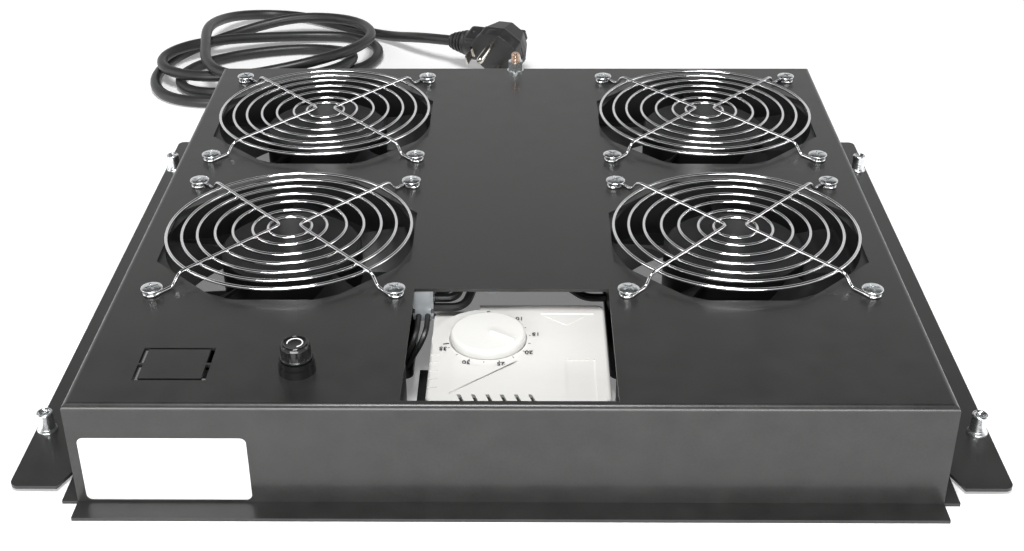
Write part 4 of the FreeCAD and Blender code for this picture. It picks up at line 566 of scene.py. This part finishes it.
cap = rounded([(0, -12), (4.12, -12), (4.12, 0.3), (6.4, 0.3), (6.4, 1.1), (6.05, 1.3), (6.05, 5.9),
               (5.5, 7.1), (4.8, 7.5), (4.4, 7.2), (0, 7.2)], 0.3)
flutes = []
for i in range(FLUTES):
    tool = bmesh.new()
    block(tool, (0.7, 0.8, 4.4), (6.25, 0, 3.7), bevel=0.15)
    bmesh.ops.rotate(tool, verts=tool.verts, matrix=Matrix.Rotation(2 * math.pi * i / FLUTES, 3, "Z"))
    flutes.append(mesh_of("flute", tool, 0))
dress(add("fuse_cap_turned", shaped("fuse_cap_turned", turned("cap", cap, 48), flutes), CAP_AT),
      "black_moulding", "fuse_cap_body", "fuse_cap")
arc = [(ARC_RADIUS * math.cos(a), ARC_RADIUS * math.sin(a), ARC_HEIGHT)
       for a in (math.radians(-70 + 22 * i) for i in range(13))]
dress(add("cap_arc", evaluated(add("arc", wire("arc", [arc], 0.3, 2)), "cap_arc"), CAP_AT),
      "black_moulding", "fuse_cap_body", material=MARK)


# ---------------------------------------------------------------- thermostat

DIAL = (THERMOSTAT_AT[0] - 13.2, THERMOSTAT_AT[1] + 9)
FACE = TOP - 12
PANEL_DEPTH, DIAL_GAP = 1.2, 0.4
FOOT = FACE - PANEL_DEPTH + DIAL_GAP  # the dial's underside, over the sunk panel
PRINT_Z = FACE + 0.06  # of the ticks' middle
SUNK = FACE - 0.3  # where the islands start, inside the face
DIAL_SETTING = math.radians(-35)
FIRST_NUMBER = math.radians(91)
NUMBER_STEP = math.radians(41.2)
NUMBERS = range(5, 40, 5)
NUMBER_RADIUS, TICK_RADIUS = 20.6, 18.0

disc = lathe(bmesh.new(), rounded([(0, 16), (3, 16), (3, FOOT), (15.8, FOOT), (16.2, FOOT + 0.5),
                                   (16.2, FOOT + 3.0), (15.8, FOOT + 4.3), (15.0, FOOT + 4.8),
                                   (0, FOOT + 4.6)], 0.6, 5), 96)
block(disc, (12.6, 2.4, 2.2), (7.2, 0, FOOT + 4.7), bevel=0.7, steps=3)
dress(add("dial_turned", mesh_of("dial_turned", disc), (*DIAL, 0), Matrix.Rotation(DIAL_SETTING, 4, "Z")),
      "dial_moulding", "dial", "thermostat_dial")


def facet(name, corners, low, high, bevel=0.15, slot_name="grey_moulding"):
    """A thin flat-topped island on the cover's face."""
    bm = bmesh.new()
    foot_ring = [bm.verts.new((x, y, low)) for x, y in corners]
    face = bm.faces.new(foot_ring)
    up = bmesh.ops.extrude_face_region(bm, geom=[face])["geom"]
    risen = [v for v in up if isinstance(v, bmesh.types.BMVert)]
    bmesh.ops.translate(bm, verts=risen, vec=(0, 0, high - low))
    bmesh.ops.bevel(bm, geom=[e for e in bm.edges if all(abs(v.co.z - high) < 1e-4 for v in e.verts)],
                    offset=bevel, segments=2, affect="EDGES")
    return dress(add(name, mesh_of(name, bm, 30)), slot_name)


near_arc = [(DIAL[0] + 22 * math.cos(a), DIAL[1] + 22 * math.sin(a))
            for a in (math.radians(-131 + 14 * i) for i in range(6))]
facet("cover_wedge_front", [(-25, -147.5), (3, -123)] + near_arc[::-1], SUNK, FACE + 0.55, 0.35)
facet("cover_line_rear", [(13, -85.8), (36, -85.8), (36, -84.6), (13, -84.6)], SUNK, FACE + 0.4)
facet("cover_wedge_rear", [(14, -87.4), (33, -87.4), (24, -95)], SUNK, FACE + 0.2)
for i in range(5):
    facet(f"cover_rib_{i}", [(-33.6, -143.4 + 6 * i), (-29.8, -142.2 + 6 * i), (-29.8, -141 + 6 * i),
                             (-33.6, -142.2 + 6 * i)], SUNK, FACE + 0.3)
# black sheets sunk in the cover's front vents: painted shade for the dark depths of the slots
for i in range(6):
    x = -21.6 + 5.75 * i
    facet(f"cover_vent_{i}", [(x + 2.2, -151.9), (x + 3.8, -151.9), (x + 1.6, -147.3), (x, -147.3)],
          FACE - 3, FACE - 1.4, 0.05, "bracket_black")


def tick(bm, size, radius, angle):
    """A printed line across a circle round the dial."""
    bmesh.ops.transform(bm, verts=block(bm, size, (radius, 0, 0)),
                        matrix=Matrix.Scale(MM, 4) @ Matrix.Translation((*DIAL, PRINT_Z))
                        @ Matrix.Rotation(angle, 4, "Z"))


marks = bmesh.new()
for i, value in enumerate(NUMBERS):
    text = bpy.data.curves.new("number", "FONT")
    text.body = str(value)
    text.size = 3.5 * MM
    text.extrude = 0.03 * MM
    text.offset = 0.05 * MM
    text.align_x, text.align_y = "CENTER", "CENTER"
    printed = evaluated(add("number", text), "number")
    a = FIRST_NUMBER - NUMBER_STEP * i
    printed.transform(Matrix.Translation(mm(DIAL[0] + NUMBER_RADIUS * math.cos(a),
                                            DIAL[1] + NUMBER_RADIUS * math.sin(a), FACE + 0.5))
                      @ Matrix.Rotation(math.pi, 4, "Z"))
    marks.from_mesh(printed)
    bpy.data.meshes.remove(printed)
for i in range(2 * len(NUMBERS) - 1):
    tick(marks, (1.0, 0.28, 0.06), TICK_RADIUS, FIRST_NUMBER - NUMBER_STEP * i / 2)
tick(marks, (2.6, 0.7, 0.06), 18.2, math.radians(-167))
numbers = bpy.data.meshes.new("dial_numbers")
marks.to_mesh(numbers)
marks.free()
dress(add("dial_numbers", numbers), "grey_moulding", material=PRINT)


# ---------------------------------------------------------------- floor and light

FLOOR_SIZE = 6  # metres from the middle to a side
HORIZON = ((0.48, 1.0), (0.58, 0.05))  # the backdrop's grey by height, white low down and dark above

grid = bmesh.new()
bmesh.ops.create_grid(grid, x_segments=1, y_segments=1, size=FLOOR_SIZE)
floor_mesh = bpy.data.meshes.new("floor")
grid.to_mesh(floor_mesh)
grid.free()
floor = add("floor", floor_mesh, (0, 0, -0.02))
floor.data.materials.append(finish("floor_pale", (0.93, 0.93, 0.93), 0.7, vary=0.01, grain=30,
                                   Emission_Strength=0.2, Emission_Color=(1, 1, 1, 1)))

world = bpy.data.worlds.new("studio")
bpy.context.scene.world = world
world.use_nodes = True
sky = world.node_tree
backdrop = sky.nodes["Background"]
backdrop.inputs["Strength"].default_value = 0.75
heading = sky.nodes.new("ShaderNodeTexCoord")
split = sky.nodes.new("ShaderNodeSeparateXYZ")
fade = sky.nodes.new("ShaderNodeValToRGB")
sky.links.new(heading.outputs["Generated"], split.inputs["Vector"])
sky.links.new(split.outputs["Z"], fade.inputs["Fac"])
sky.links.new(fade.outputs["Color"], backdrop.inputs["Color"])
for stop, (height, value) in zip(fade.color_ramp.elements, HORIZON):
    stop.position = height
    stop.color = (value, value, value, 1)


def softbox(name, at, aim, size, power):
    """A soft rectangular light with its size in metres and its power in watts."""
    light = bpy.data.lights.new(name, "AREA")
    light.shape = "RECTANGLE"
    light.size, light.size_y = size
    light.energy = power
    direction = Vector(aim) - Vector(at)
    return add(name, light, at, direction.to_track_quat("-Z", "Y").to_matrix().to_4x4())


softbox("top_box", (-60, -500, 1600), (0, 0, 0), (0.5, 0.5), 24)
softbox("front_box", (-100, -1650, 330), (0, -180, 20), (1.6, 0.5), 31)
softbox("left_box", (-1500, -100, 700), (0, 0, 0), (0.4, 1.2), 3)
softbox("right_box", (1500, 100, 700), (0, 0, 0), (0.4, 1.2), 3)

bpy.context.scene.view_settings.view_transform = "Standard"

# the cord's box is only right after it has been worked out anew
cord.data.update_tag()
bpy.context.view_layer.update()
